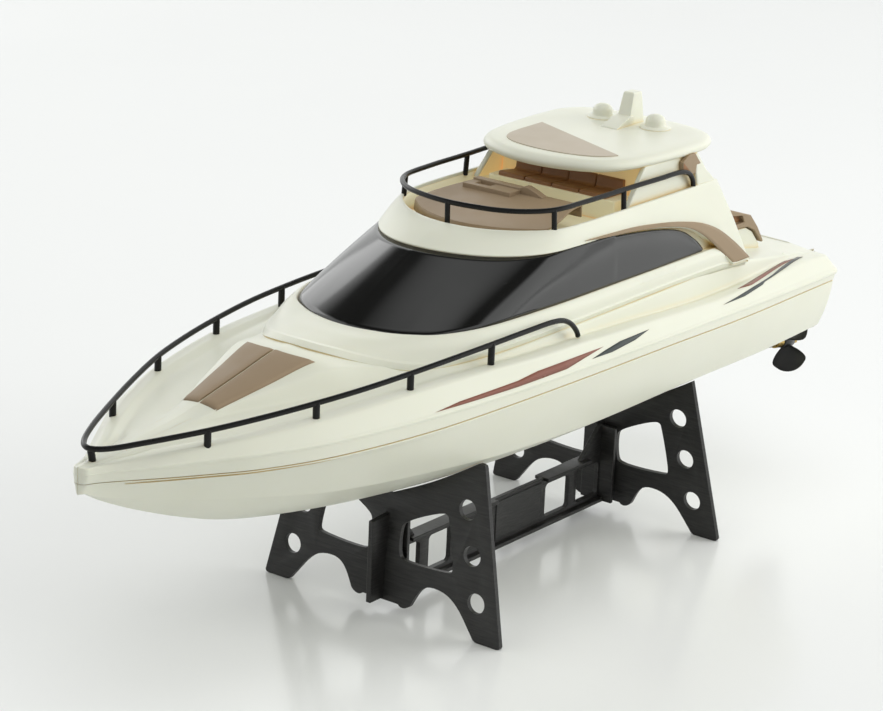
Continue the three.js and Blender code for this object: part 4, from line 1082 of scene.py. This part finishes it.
def build_dash():
    """Brown panel that falls away to the front, with its lip and its aft edge."""
    front_y = 34.2
    aft_edge_y = 28.5
    aft_x = -41.5
    low_z = 160.0
    high_z = 163.9
    half = [(8.8, 0), (7.8, 8), (5.2, 16), (1.6, 23), (-3.6, 29.4), (-6.5, 32.6), (-9.5, front_y)]
    columns = []
    for p in catmull([(x, y, 0) for x, y in half], 28):
        aft_y = p.y / front_y * aft_edge_y
        column = []
        for t in spaced(0, 1, 14):
            x = p.x + (aft_x - p.x) * t
            y = p.y + (aft_y - p.y) * smoothstep(0.0, 1.0, t)
            z = low_z + (high_z - low_z) * smoothstep(-0.45, 0.95, t)
            column.append(Vector((x, y, z)))
        lip = column[0].copy()
        column = [Vector((lip.x + 0.9, lip.y, lip.z - 4.0)),
                  Vector((lip.x + 0.35, lip.y, lip.z - 0.5)),
                  *column, Vector((-41.8, aft_y, 163.4)), Vector((-41.9, aft_y, 158.5))]
        columns.append(column)
    bm = bmesh.new()
    add_grid(bm, both_sides(columns))
    dash = new_object("helm_dash_panel", bm, "taupe", "cabin", ["helm_dash"], sharp=40)
    thicken(dash, 0.8)


def build_console():
    """Console with a shallow tray at its starboard end and a ramp at its port end."""
    outline = [(-25, 163.2), (-25, 166.4), (-0.5, 166.4), (1.6, 167.3), (3.2, 167.4),
               (7.5, 165.9), (11, 164.4), (11, 163.6)]
    block("helm_console_back", prism_bm(outline, -40.6, -36.8, "x"), "taupe", "cabin",
          0.35, replaces=["helm_console"])
    bm = prism_bm([(-25, 162.6), (-25, 165.6), (0, 165.6), (0, 162.6)], -36.9, -29.2, "x")
    box = new_object("helm_console_box", bm, "taupe", "cabin")
    cut_with(box, prism_bm(rectangle(-36.9, -32.2, -20.5, -13), 164.4, 170))
    bevel(box, 0.35)


def build_bench():
    """Cream plinth and the wall behind it, both with painted glow, and four moulded places with
    backs.
    """
    plinth = rectangle(-33, 33, WELL_FLOOR_Z, 162.6)
    # Plinth and rear wall carry painted glow.
    block("bench_plinth", prism_bm(plinth, -72.6, -59.2, "x"), "painted_faint_glow", "cabin",
          0.5, replaces=["bench_base"])
    wall = rectangle(-37, 37, WELL_FLOOR_Z, 176.6)
    block("bench_rear_wall", prism_bm(wall, -78.8, -74.6, "x"), "painted_glow", "cabin", 0.5)
    half_width = 28.4
    gap = 0.3
    profile = [(-59.3, 162.7), (-59.6, 164.3), (-60.4, 164.6), (-71.0, 163.4), (-72.2, 164.2),
               (-72.8, 168.0), (-73.3, 168.6), (-74.5, 168.6), (-74.5, 162.7)]
    for i in range(4):
        y0 = -half_width + i * half_width / 2 + gap
        y1 = -half_width + (i + 1) * half_width / 2 - gap
        block(f"bench_place_{i + 1}", prism_bm(profile, y0, y1, "y"), "seat", "cabin",
              0.35, 3, 25, ["bench_seat"] if i == 0 else ())


# ------------------------------------------------------------------ hardtop
def build_hardtop():
    """Thick slab with a rounded edge and slightly domed faces, and the brown panel on it."""
    outline = [(-40.0, 0), (-41.0, 9), (-43.6, 18), (-48.0, 27), (-54.2, 33.2), (-62.6, 37),
               (-73.6, 39.2), (-91.6, 40.8), (-107.6, 41.2), (-119.6, 40.2), (-128.6, 36),
               (-134.2, 28), (-137.2, 15), (-137.9, 0)]
    ring = catmull([(x, y, 0) for x, y in outline], 72)
    full = ring + [Vector((p.x, -p.y, 0)) for p in reversed(ring[1:-1])]

    def level(inset, z):
        out = []
        for i, p in enumerate(full):
            a, b = full[i - 1], full[(i + 1) % len(full)]
            run = (b - a).normalized()
            out.append(Vector((p.x - run.y * inset, p.y + run.x * inset, z)))
        return out

    # Inset and height round the edge, from the lower face to the upper one.
    profile = [(12, 176.9), (7, 176.5), (4.2, 176.0), (2.2, 175.9), (0.9, 176.5), (0.2, 177.4),
               (0, 178.3), (0.3, 179.2), (1.0, 180.1), (2.2, 180.8), (4.0, 181.15), (4.6, 181.2),
               (5.2, 181.32), (7, 181.4), (11, 181.5)]
    bm = bmesh.new()
    rows = [level(inset, z) for inset, z in profile]
    add_grid(bm, rows, close_rows=True)
    for row, rise in ((rows[0], 0.0), (rows[-1], 0.12)):
        strips = []
        for i in range(len(row) // 2 + 1):
            a, b = row[i], row[-i % len(row)]
            strips.append([a.lerp(b, t) + Vector((0, 0, rise * 4 * t * (1 - t)))
                           for t in spaced(0, 1, 17)])
        add_grid(bm, strips)
    new_object("hardtop_slab", bm, "deck", "cabin", ["hardtop"], sharp=50)

    panel = [(-63.6, 30.6), (-58.8, 28.4), (-54.0, 23), (-50.4, 14), (-48.8, 4), (-49.0, -6),
             (-51.2, -15.5), (-55.0, -21.4), (-60.6, -24.4), (-67.6, -25.6), (-88.2, -26.4)]
    front = catmull([(x, y, 0) for x, y in panel], 40)
    bm = prism_bm([(p.x, p.y) for p in front], 181.3, 181.78)
    new_object("roof_panel_plate", bm, "pale_taupe", "cabin", ["roof_panel"], sharp=30)


def leaning_plate(outline, side, inner_y, outer_y, slope):
    """Upright plate of an (x, z) outline that leans in towards the roof."""
    bm = prism_bm(outline, side * inner_y, side * outer_y, "y")
    for v in bm.verts:
        v.co.y -= side * slope * max(0.0, v.co.z - 160)
    return bm


def build_hardtop_sides():
    """Wings that carry the hardtop, thin sheets of painted glow inside them, the cheeks aft of the
    rail, louvres with a painted shadow.
    """
    wing = [(-58, 160), (-62, 165), (-72.6, 176.6), (-111, 176.6), (-117, 168.6), (-124.3, 162.4),
            (-128.5, 158.5), (-120, 157)]
    glow_sheet = [(-59, 160), (-63, 164.8), (-73, 176.2), (-110, 176.2), (-116, 168.2),
              (-122.4, 162.4), (-120, 157)]
    cheek = [(-109.4, 160), (-108.8, 168), (-108.8, 176.4), (-111.4, 176.4), (-117.2, 168.4),
             (-124.6, 162.2), (-129.6, 157.6), (-118, 156)]
    vane = [(-98.4, 169.4), (-98.4, 174.4), (-103.4, 177.2), (-107.6, 177), (-117.4, 166.8),
            (-103.4, 168.2)]
    shadow = [(-98.8, 169.8), (-98.8, 174), (-104.6, 169.2), (-104.2, 168.5)]
    for word, side in SIDES:
        bm = leaning_plate(wing, side, 38.2, 40.6, 0.1)
        block(f"hardtop_wing_{word}", bm, "deck", "cabin", 0.5,
              replaces=[f"hardtop_support_{word}"])
        # Thin sheet inside each wing that only carries painted glow.
        bm = leaning_plate(glow_sheet, side, 37.9, 38.3, 0.1)
        new_object(f"hardtop_wing_lining_{word}", bm, "painted_glow", "cabin")
        bm = leaning_plate(cheek, side, 38.6, 42.9, 0.12)
        block(f"hardtop_cheek_{word}", bm, "deck", "cabin", 0.9, 4)
        bm = prism_bm(vane, side * 39.4, side * 41.5, "y")
        block(f"louvre_vane_{word}", bm, "taupe", "cabin", 0.25,
              replaces=[f"side_louvre_{word}"])
        bm = prism_bm(shadow, side * 41.45, side * 41.6, "y")
        new_object(f"louvre_shadow_{word}", bm, "seat", "cabin")


def build_roof_fittings():
    """Two radar domes, and the mast with the ramp ahead of it."""
    dome_x = -117.1
    dome_y = 14
    profile = [(6.9, 181.5), (6.9, 181.9), (6.6, 182.25), (5.6, 182.5), (4.75, 182.7),
               (4.5, 183.2), (4.45, 184.6), (4.25, 185.6), (3.7, 186.5), (2.8, 187.2),
               (1.6, 187.65), (0.5, 187.8)]
    for word, side in SIDES:
        bm = bmesh.new()
        rows = [[Vector((dome_x + r * math.cos(a), side * dome_y + r * math.sin(a), z))
                 for a in spaced(0, 2 * math.pi, 49)[:-1]] for r, z in profile]
        add_grid(bm, rows, close_rows=True)
        add_cap(bm, rows[0])
        add_cap(bm, rows[-1])
        new_object(f"dome_{word}", bm, "deck", "cabin", [f"radar_dome_{word}"])
    bm = bmesh.new()
    rings = []
    for x0, x1, half, z in ((-111.6, -124, 3.6, ROOF_TOP_Z), (-112.6, -123.6, 3.4, 184),
                            (-115.6, -122.2, 2.8, 194.8), (-116.2, -121.8, 2.5, 195.4)):
        rings.append([Vector((x0, -half, z)), Vector((x0, half, z)), Vector((x1, half, z)),
                      Vector((x1, -half, z))])
    add_grid(bm, rings, close_rows=True)
    add_cap(bm, rings[0])
    add_cap(bm, rings[-1])
    block("mast_fin", bm, "deck", "cabin", 0.8, 4, 20, ["mast"], sharp=30)
    foot = [(-101, ROOF_TOP_Z), (-101.2, 182.0), (-102.6, 182.4), (-112.8, 185.6), (-115, 185.6),
            (-115, ROOF_TOP_Z)]
    bm = prism_bm(foot, -3.9, 3.9, "y")
    for v in bm.verts:
        v.co.y *= 1.0 + 0.12 * smoothstep(-112, -101, v.co.x)
    block("mast_ramp", bm, "deck", "cabin", 0.7, 4, 20)


# ------------------------------------------------------------------ rails
def rail_with_posts(word, port_line, radius, body, steps, posts, post_radius):
    """Bar round the bow end, mirrored from its port half, on straight posts."""
    path = [(x, -y, z) for x, y, z in reversed(port_line[1:])] + port_line
    rail_tube(f"{word}_rail_bar", path, radius, body, steps, [f"{word}_rail"])
    for i, ends in enumerate(posts):
        rail_tube(f"{word}_post_{i + 1}", ends, post_radius, body, 3)


def build_rails():
    """Flybridge rail on five posts and bow rail on nine."""
    fly = [(14.6, 0, 170.2), (13.2, 12, 170.2), (9.6, 23.5, 170.2), (3, 32.4, 170.2),
           (-6.8, 38.4, 170.2), (-26, 40.4, 170.4), (-53.7, 41, 170.6), (-80, 42, 170.8),
           (-97, 42.3, 170.6), (-102.6, 42.3, 168.8), (-105.8, 42.2, 165.4), (-107, 42, 161.8)]
    posts = [((14.2, 0, 161.2), fly[0])]
    for x, y in ((-6.8, 38.4), (-53.7, 41)):
        for side in (1, -1):
            posts.append(((x, side * (y + 0.6), 161.2), (x, side * y, 170.4)))
    rail_with_posts("fly", fly, 1.1, "cabin", 240, posts, 1.15)
    bow = [(225.6, 0, 117.9), (224.6, 3.0, 118), (221.0, 6.6, 118.2), (211, 12.6, 119.1),
           (187.7, 23.7, 120.8), (165, 33, 122.9), (145, 39.9, 124.8), (122, 45.6, 126.5),
           (100, 49.4, 128), (76, 52.4, 129.4), (54.1, 54.0, 130.2), (30, 55, 130.8),
           (14, 55.4, 130.8), (7, 55.6, 129.8), (2, 55.8, 127.4), (-2.4, 55.8, 123.2),
           (-3.6, 55.8, 121.0)]
    posts = [((223.2, 0, 111.2), (224.6, 0, 117.6))]
    for x, y, z in (bow[4], bow[6], bow[8], bow[10]):
        for side in (1, -1):
            posts.append(((x, side * y, deck_z(x, y) - 1), (x, side * y, z)))
    rail_with_posts("bow", bow, 1.1, "boat", 420, posts, 1.4)


# ------------------------------------------------------------------ aft seat
def build_aft_seat():
    """Brown sun pad with a recess at each end, on a cream plinth."""
    profile = [(-157, 129), (-157, 138.0), (-158.2, 139.0), (-160.5, 138.9), (-178, 133.4),
               (-184.6, 126.8), (-190.2, 119.4), (-190.4, 118.4), (-189.2, 118.4), (-182, 125.4),
               (-176, 128.2), (-163, 129)]
    pad = new_object("sun_pad", prism_bm(profile, -30.2, 30.2, "y"), "taupe", "boat",
                     ["aft_seat_pad"])
    recess = [(-159.4, 131), (-159.4, 136.2), (-170.6, 134.4), (-172.6, 131)]
    for low, high in ((27.6, 32), (-32, -27.6)):
        cut_with(pad, prism_bm(recess, low, high, "y"))
    bevel(pad, 0.45)
    recess_floor = [(-159.6, 130.8), (-159.6, 136.4), (-170.8, 134.6), (-172.8, 130.8)]
    for word, side in SIDES:
        bm = prism_bm(recess_floor, side * 27.2, side * 27.8, "y")
        new_object(f"sun_pad_recess_{word}", bm, "seat", "boat")
    base = [(-152, 120.8), (-152, 128.2), (-153, 128.8), (-176, 127.6), (-182, 124.6),
            (-188.6, 117.6), (-188.6, 114.6)]
    seat = new_object("sun_pad_plinth", prism_bm(base, -29, 29, "y"), "deck", "boat",
                      ["aft_seat_base"])
    joint = [(-166.2, 110), (-166.2, 130), (-165.2, 130), (-165.2, 110)]
    cut_with(seat, prism_bm(joint, 28.2, 30, "y"))
    bevel(seat, 0.5)


# ------------------------------------------------------------------ stripes on the hull sides
def build_stripes():
    """Plain graphic stripes as thin films. Each is a list of (x, place) corners, the place
    counting across the deck moulding's side from the lip (0) over the sheer (1) inboard."""
    stripes = {
        "stripe_long": ("red", [(95.2, 0.05), (81, 0.2), (46, 0.3), (33, 0.45), (-12.9, 0.55),
                                (14.8, 0.1), (46.9, 0.05)]),
        "stripe_leaf": ("slate", [(-3, 0.15), (-13.1, 0.35), (-25.2, 0.55), (-48.4, 0.65),
                                  (-35.7, 0.35), (-17.4, 0.15)]),
        "stripe_aft_red": ("red", [(-130.5, 2.35), (-183.5, 3.9), (-191.2, 3.45), (-141, 1.95)]),
        "stripe_aft_slate": ("slate", [(-110.5, 0.6), (-141.1, 1.0), (-196.2, 3.65),
                                       (-198.9, 3.1), (-148.9, 0.85), (-130.3, 0.6)]),
    }
    for name, (material, corners) in stripes.items():
        for word, side in SIDES:
            bm = bmesh.new()
            bm.faces.new([bm.verts.new((x, place * 10, 0)) for x, place in corners])
            # Cut along the moulding's bends and across it, so that the film lies on it.
            cuts = [((0, bend * 10, 0), (0, 1, 0)) for bend in (1, 2, 3)]
            cuts += [((x, 0, 0), (1, 0, 0)) for x in range(-198, 96, 3)]
            for point, normal in cuts:
                everything = bm.verts[:] + bm.edges[:] + bm.faces[:]
                bmesh.ops.bisect_plane(bm, geom=everything, plane_co=point, plane_no=normal)
            bmesh.ops.triangulate(bm, faces=bm.faces[:])
            for v in bm.verts:
                p = deck_skin_point(v.co.x, v.co.y / 10)
                v.co = Vector((p.x, side * (p.y + 0.1), p.z + 0.14))
            film = new_object(f"{name}_{word}", bm, material, "boat")
            thicken(film, 0.12)


# ------------------------------------------------------------------ propellers and shafts
SCREW_X = -224
SCREW_Y = 27
SCREW_Z = 62
SHAFT_TILT = math.radians(8)
BLADES = 3


def blade_face(side, face_side):
    """One face of an upright blade, as rows of points from its root to its round tip."""
    root, tip = 3.0, 15.0
    grid = []
    for t in (i / 12 for i in range(13)):
        r = root + (tip - root) * t
        pitch = math.radians(52 - 26 * t)
        half_chord = along([(0, 2.6), (0.35, 6.6), (0.7, 9.0), (0.9, 8.6), (1, 7.2)], t)
        row = []
        for c in (j / 12 * 2 - 1 for j in range(13)):
            chord = c * half_chord
            round_tip = math.sqrt(max(0.0, 1 - (c * 0.42) ** 2))
            radius = r * (1 if t < 0.7 else 1 - (1 - round_tip) * (t - 0.7) / 0.3)
            angle = chord * math.cos(pitch) / max(3.2, radius)
            x = side * chord * math.sin(pitch) * 0.72
            thick = 0.55 * (1 - c * c) ** 0.5 * (1 - 0.5 * t) + 0.12
            row.append(Vector((x + face_side * thick, radius * math.sin(angle),
                               radius * math.cos(angle))))
        grid.append(row)
    return grid


def grid_edge(grid):
    """Edge of a grid, up one side, across its last row and down the other side."""
    return ([row[0] for row in grid] + grid[-1][1:] + [row[-1] for row in reversed(grid)][1:])


def build_drives():
    """Propellers of opposite hands, each with a rounded hub."""
    hub = [(-4.4, 1.5), (-4.4, 2.7), (-3.8, 3.3), (0, 3.6), (3.8, 3.3), (4.5, 2.9), (4.5, 1.5)]
    for word, side in SIDES:
        bm = bmesh.new()
        rows = [[Vector((x, r * math.cos(a), r * math.sin(a)))
                 for a in spaced(0, 2 * math.pi, 33)[:-1]] for x, r in hub]
        add_grid(bm, rows + [rows[0]], close_rows=True)
        for blade in range(BLADES):
            turn = Matrix.Rotation(blade * 2 * math.pi / BLADES + math.pi + 0.4 * side, 4, "X")
            front, back = ([[turn @ p for p in row] for row in blade_face(side, face_side)]
                           for face_side in (1, -1))
            add_grid(bm, front)
            add_grid(bm, back, flip=True)
            add_grid(bm, [grid_edge(front), grid_edge(back)])
        bm.transform(Matrix.Translation((SCREW_X, side * SCREW_Y, SCREW_Z))
                     @ Matrix.Rotation(-SHAFT_TILT, 4, "Y"))
        new_object(f"screw_{word}", bm, "propeller", f"{word}_drive",
                   [f"propeller_{word}"], sharp=45)


# ------------------------------------------------------------------ stand
def stand_outline():
    """Outer outline of a plate as (y, height) points, with smooth arches between the feet."""
    def bezier(a, b, c, d, n=14):
        out = []
        for i in range(1, n + 1):
            t = i / n
            u = 1 - t
            out.append(tuple(u ** 3 * a[k] + 3 * u * u * t * b[k] + 3 * u * t * t * c[k]
                             + t ** 3 * d[k] for k in (0, 1)))
        return out

    half = [(9.5, 5.2)]
    half += bezier((9.5, 5.2), (10.5, 3.6), (13.5, 3.8), (15.5, 6.0), 6)
    half += bezier((15.5, 6.0), (18.5, 12), (20.5, 17), (27, 17), 10)
    half += bezier((27, 17), (38, 17.2), (42, 9), (47.6, 2.2), 12)
    half += bezier((47.6, 2.2), (48.4, 0.8), (49.4, 0), (50.8, 0), 4)
    half += [(60.6, 0), (61.8, 0.35), (62.3, 1.2), (46.9, 73.5), (46.4, 74.6), (45.2, 75)]
    return half + [(-y, h) for y, h in reversed(half)]


HOLES = [(40.1, 54.4), (44.4, 35.7), (48.6, 16.4)]
HOLE_RADIUS = 4.3
HALF_PLATE = 1.15  # half the thickness of the stand's plates and web
WINDOW = [(7.9, 38.6), (9.6, 40.9), (28.6, 49.8), (30.6, 49.4), (31.4, 47.6), (35.4, 28),
          (35.0, 26.2), (33.6, 25.6), (9.6, 25.1), (8, 26.6)]


def build_plate(name, x, lean, node):
    """Cradle plate with its holes and windows, its top edge shaped by the hull."""
    bm = prism_bm(stand_outline(), -HALF_PLATE, HALF_PLATE, "x")
    plate = new_object(name, bm, "stand", "stand", [node], sharp=30)
    cutters = bmesh.new()
    for side in (1, -1):
        for y, h in HOLES:
            circle = [(side * y + HOLE_RADIUS * math.cos(a), h + HOLE_RADIUS * math.sin(a))
                      for a in spaced(0, 2 * math.pi, 41)[:-1]]
            prism_bm(circle, -4, 4, "x", cutters)
        window = catmull([(side * y, h, 0) for y, h in WINDOW + WINDOW[:1]], 61)[:-1]
        prism_bm([(p.x, p.y) for p in window], -4, 4, "x", cutters)
    cut_with(plate, cutters)
    plate.data.transform(Matrix.Translation((x * MM, 0, 0)) @ Matrix.Rotation(-lean, 4, "Y"))
    # The plate takes the shape of the hull's underside, with a small clearance.
    rows = []
    for station in spaced(x - 20, x + 20, 21):
        half = [Vector((p.x, p.y + 0.3, p.z - 0.45)) for p in hull_half(station)]
        top = [Vector((station, half[0].y, 130))] + half
        rows.append(top + [Vector((p.x, -p.y, p.z)) for p in reversed(top[:-1])])
    cutter = bmesh.new()
    add_grid(cutter, rows, close_rows=True)
    add_cap(cutter, rows[0])
    add_cap(cutter, rows[-1])
    bmesh.ops.remove_doubles(cutter, verts=cutter.verts, dist=0.002)
    cut_with(plate, cutter)
    # Feet are cut level with the table.
    cut_with(plate, prism_bm(rectangle(x - 30, x + 30, -90, 90), -10, 0))
    bevel(plate, 0.28, 2, 50)


def rounded_window(low, high, foot, head, r):
    """Outline of a rectangle with round corners."""
    outline = []
    for i, (cx, cz) in enumerate(rectangle(low, high, foot, head)):
        sx = 1 if cx == low else -1
        sz = 1 if cz == foot else -1
        start = (i + 2) % 4 * math.pi / 2
        for k in range(7):
            a = start + k / 6 * math.pi / 2
            outline.append((cx + sx * r + r * math.cos(a), cz + sz * r + r * math.sin(a)))
    return outline


def build_stand():
    """Two leaning cradle plates, and the beam between them with its web, flanges and ribs."""
    lean = math.radians(4.5)
    build_plate("front_cradle_plate", 48.7, lean, "stand_front_plate")
    build_plate("rear_cradle_plate", -116.5, -lean, "stand_rear_plate")
    web = [(-123.8, 5.8), (57.6, 5.8), (57.6, 42), (44.4, 43), (39.6, 41), (28.5, 28.2),
           (-94, 28.2), (-107.4, 41), (-112.4, 43), (-123.8, 34)]
    bm = prism_bm(web, -HALF_PLATE, HALF_PLATE, "y")
    beam = new_object("beam_web", bm, "stand", "stand", ["stand_beam"], sharp=30)
    cutters = bmesh.new()
    for low, high in ((24.6, 35.5), (3, 18.3), (-85.4, -67), (-108.7, -91.4)):
        prism_bm(rounded_window(low, high, 9, 24.6, 2.2), -3, 3, "y", cutters)
    cut_with(beam, cutters)
    bevel(beam, 0.25, 2, 50)
    pieces = [
        ("beam_foot_flange", rectangle(-111, 43, 5.6, 7.4), 4.0),
        ("beam_top_flange_front", rectangle(-28, 33, 26.8, 28.4), 3.8),
        ("beam_top_flange_rear", rectangle(-99, -65, 26.8, 28.4), 3.8),
        ("beam_front_rib", rectangle(41.4, 43.2, 5.6, 42), 8.4),
        ("beam_rear_rib", rectangle(-111.2, -109.4, 5.6, 42), 8.4),
        ("beam_plaque", rectangle(-63.6, -29.4, 8.2, 26.6), 1.6),
    ]
    for name, outline, half in pieces:
        block(name, prism_bm(outline, -half, half, "y"), "stand", "stand", 0.3, 2, 50,
              sharp=30)


# ------------------------------------------------------------------ carried-over CAD nodes
def repaint_nodes():
    """Gives the nodes that are kept as they are a material and soft edges."""
    looks = {
        "steel": ["motor_port", "motor_starboard", "motor_bracket_port", "motor_bracket_starboard",
                  "motor_spindle_port", "motor_spindle_starboard", "propeller_shaft_port",
                  "propeller_shaft_starboard", "receiver_crystal_can"],
        "brass": ["stern_tube_port", "stern_tube_starboard", "shaft_bush_port",
                  "shaft_bush_starboard", "propeller_nut_port", "propeller_nut_starboard"],
        "dark": ["battery_tray", "receiver_tray", "speed_controller", "receiver_antenna",
                 "power_switch_body", "power_switch_slider", "switch_bracket",
                 "shaft_coupling_port", "shaft_coupling_starboard"],
        "board": ["receiver_board"],
        "cell": ["battery_pack"],
    }
    for look, nodes in looks.items():
        for node in nodes:
            obj = bpy.data.objects[node]
            if not obj.material_slots:
                obj.data.materials.append(mats[look])
            for one in obj.material_slots:
                one.material = mats[look]
            bevel(obj, 0.15, 2, 40)


# ------------------------------------------------------------------ stage, lights and camera
def build_stage():
    """Large white floor with a faint sheen."""
    bm = bmesh.new()
    size = 4000
    rows = [[Vector((x, y, 0)) for x in spaced(-size, size, 3)] for y in spaced(-size, size, 3)]
    add_grid(bm, rows)
    mesh = bpy.data.meshes.new("floor")
    bm.to_mesh(mesh)
    bm.free()
    mesh.transform(Matrix.Scale(MM, 4))
    floor = bpy.data.objects.new("floor", mesh)
    bpy.context.collection.objects.link(floor)
    s = Shader("floor_white")
    colour = s.mix(s.noise(3.0, 2.0), (0.86, 0.87, 0.86), (0.88, 0.885, 0.875))
    rough = s.ramp(s.noise(8.0, 2.0), 0.3, 0.7, 0.16, 0.2)
    s.bsdf.inputs["Specular IOR Level"].default_value = 0.5
    mesh.materials.append(s.finish(colour, rough))


def area_light(name, location, target, size, size_y, power, glossy=False):
    """Rectangular lamp that faces its target."""
    data = bpy.data.lights.new(name, "AREA")
    data.shape = "RECTANGLE"
    data.size = size
    data.size_y = size_y
    data.energy = power
    obj = bpy.data.objects.new(name, data)
    obj.location = location
    direction = Vector(target) - Vector(location)
    obj.rotation_euler = direction.to_track_quat("-Z", "Y").to_euler()
    obj.visible_glossy = glossy
    bpy.context.collection.objects.link(obj)


def build_lights():
    """Pale tent: bright low down, dark higher up, and dimmer on the camera's side."""
    world = bpy.data.worlds.new("studio")
    bpy.context.scene.world = world
    world.use_nodes = True
    tree = world.node_tree
    background = tree.nodes["Background"]
    coords = tree.nodes.new("ShaderNodeTexCoord")
    split = tree.nodes.new("ShaderNodeSeparateXYZ")
    tree.links.new(coords.outputs["Generated"], split.inputs["Vector"])
    ramp = tree.nodes.new("ShaderNodeValToRGB")
    tree.links.new(split.outputs["Z"], ramp.inputs["Fac"])
    stops = ((0.0, 1.0), (0.56, 0.95), (0.68, 0.05), (0.85, 0.04), (0.97, 0.6))
    while len(ramp.color_ramp.elements) < len(stops):
        ramp.color_ramp.elements.new(0.5)
    for element, (place, value) in zip(ramp.color_ramp.elements, stops):
        element.position = place
        element.color = (value * 0.985, value, value * 0.99, 1)
    toward = tree.nodes.new("ShaderNodeVectorMath")
    toward.operation = "DOT_PRODUCT"
    toward.inputs[1].default_value = (0.86, 0.5, 0)
    tree.links.new(coords.outputs["Generated"], toward.inputs[0])
    dim = tree.nodes.new("ShaderNodeMapRange")
    for key, number in (("From Min", -0.2), ("From Max", 0.8), ("To Min", 1.31), ("To Max", 0.53)):
        dim.inputs[key].default_value = number
    tree.links.new(toward.outputs["Value"], dim.inputs["Value"])
    tree.links.new(ramp.outputs["Color"], background.inputs["Color"])
    tree.links.new(dim.outputs["Result"], background.inputs["Strength"])
    area_light("overhead", (0.1, 0.6, 1.5), (0, 0.1, 0.1), 1.8, 1.8, 13)
    area_light("port_aft", (-1.3, 1.3, 0.6), (-0.1, 0, 0.12), 1.2, 0.8, 14)
    area_light("starboard", (-0.2, -1.6, 0.8), (0, 0, 0.12), 1.4, 0.8, 4.5, True)


def build_camera():
    """Long lens ahead of the bow on the port side, a little above the boat."""
    data = bpy.data.cameras.new("camera")
    data.sensor_width = 36
    data.sensor_fit = "HORIZONTAL"
    data.lens = 122.31
    data.clip_start = 0.05
    data.clip_end = 60
    camera = bpy.data.objects.new("camera", data)
    bpy.context.collection.objects.link(camera)
    back = Vector((0.76475, 0.56497, 0.30978)).normalized()
    right = Vector((-0.60495, 0.79508, 0.04336)).normalized()
    up = back.cross(right).normalized()
    turn = Matrix((right, up, back)).transposed()
    camera.matrix_world = Matrix.Translation((0.96924, 0.70572, 0.49064)) @ turn.to_4x4()
    bpy.context.scene.camera = camera


build_camera()
build_stage()
build_lights()
build_hull()
build_deck()
build_hatch()
build_cabin_cover()
build_glazing()
build_arches()
build_flybridge()
build_hardtop()
build_hardtop_sides()
build_roof_fittings()
build_rails()
build_aft_seat()
build_stripes()
build_drives()
build_stand()
repaint_nodes()
bpy.context.scene.view_settings.view_transform = "Standard"
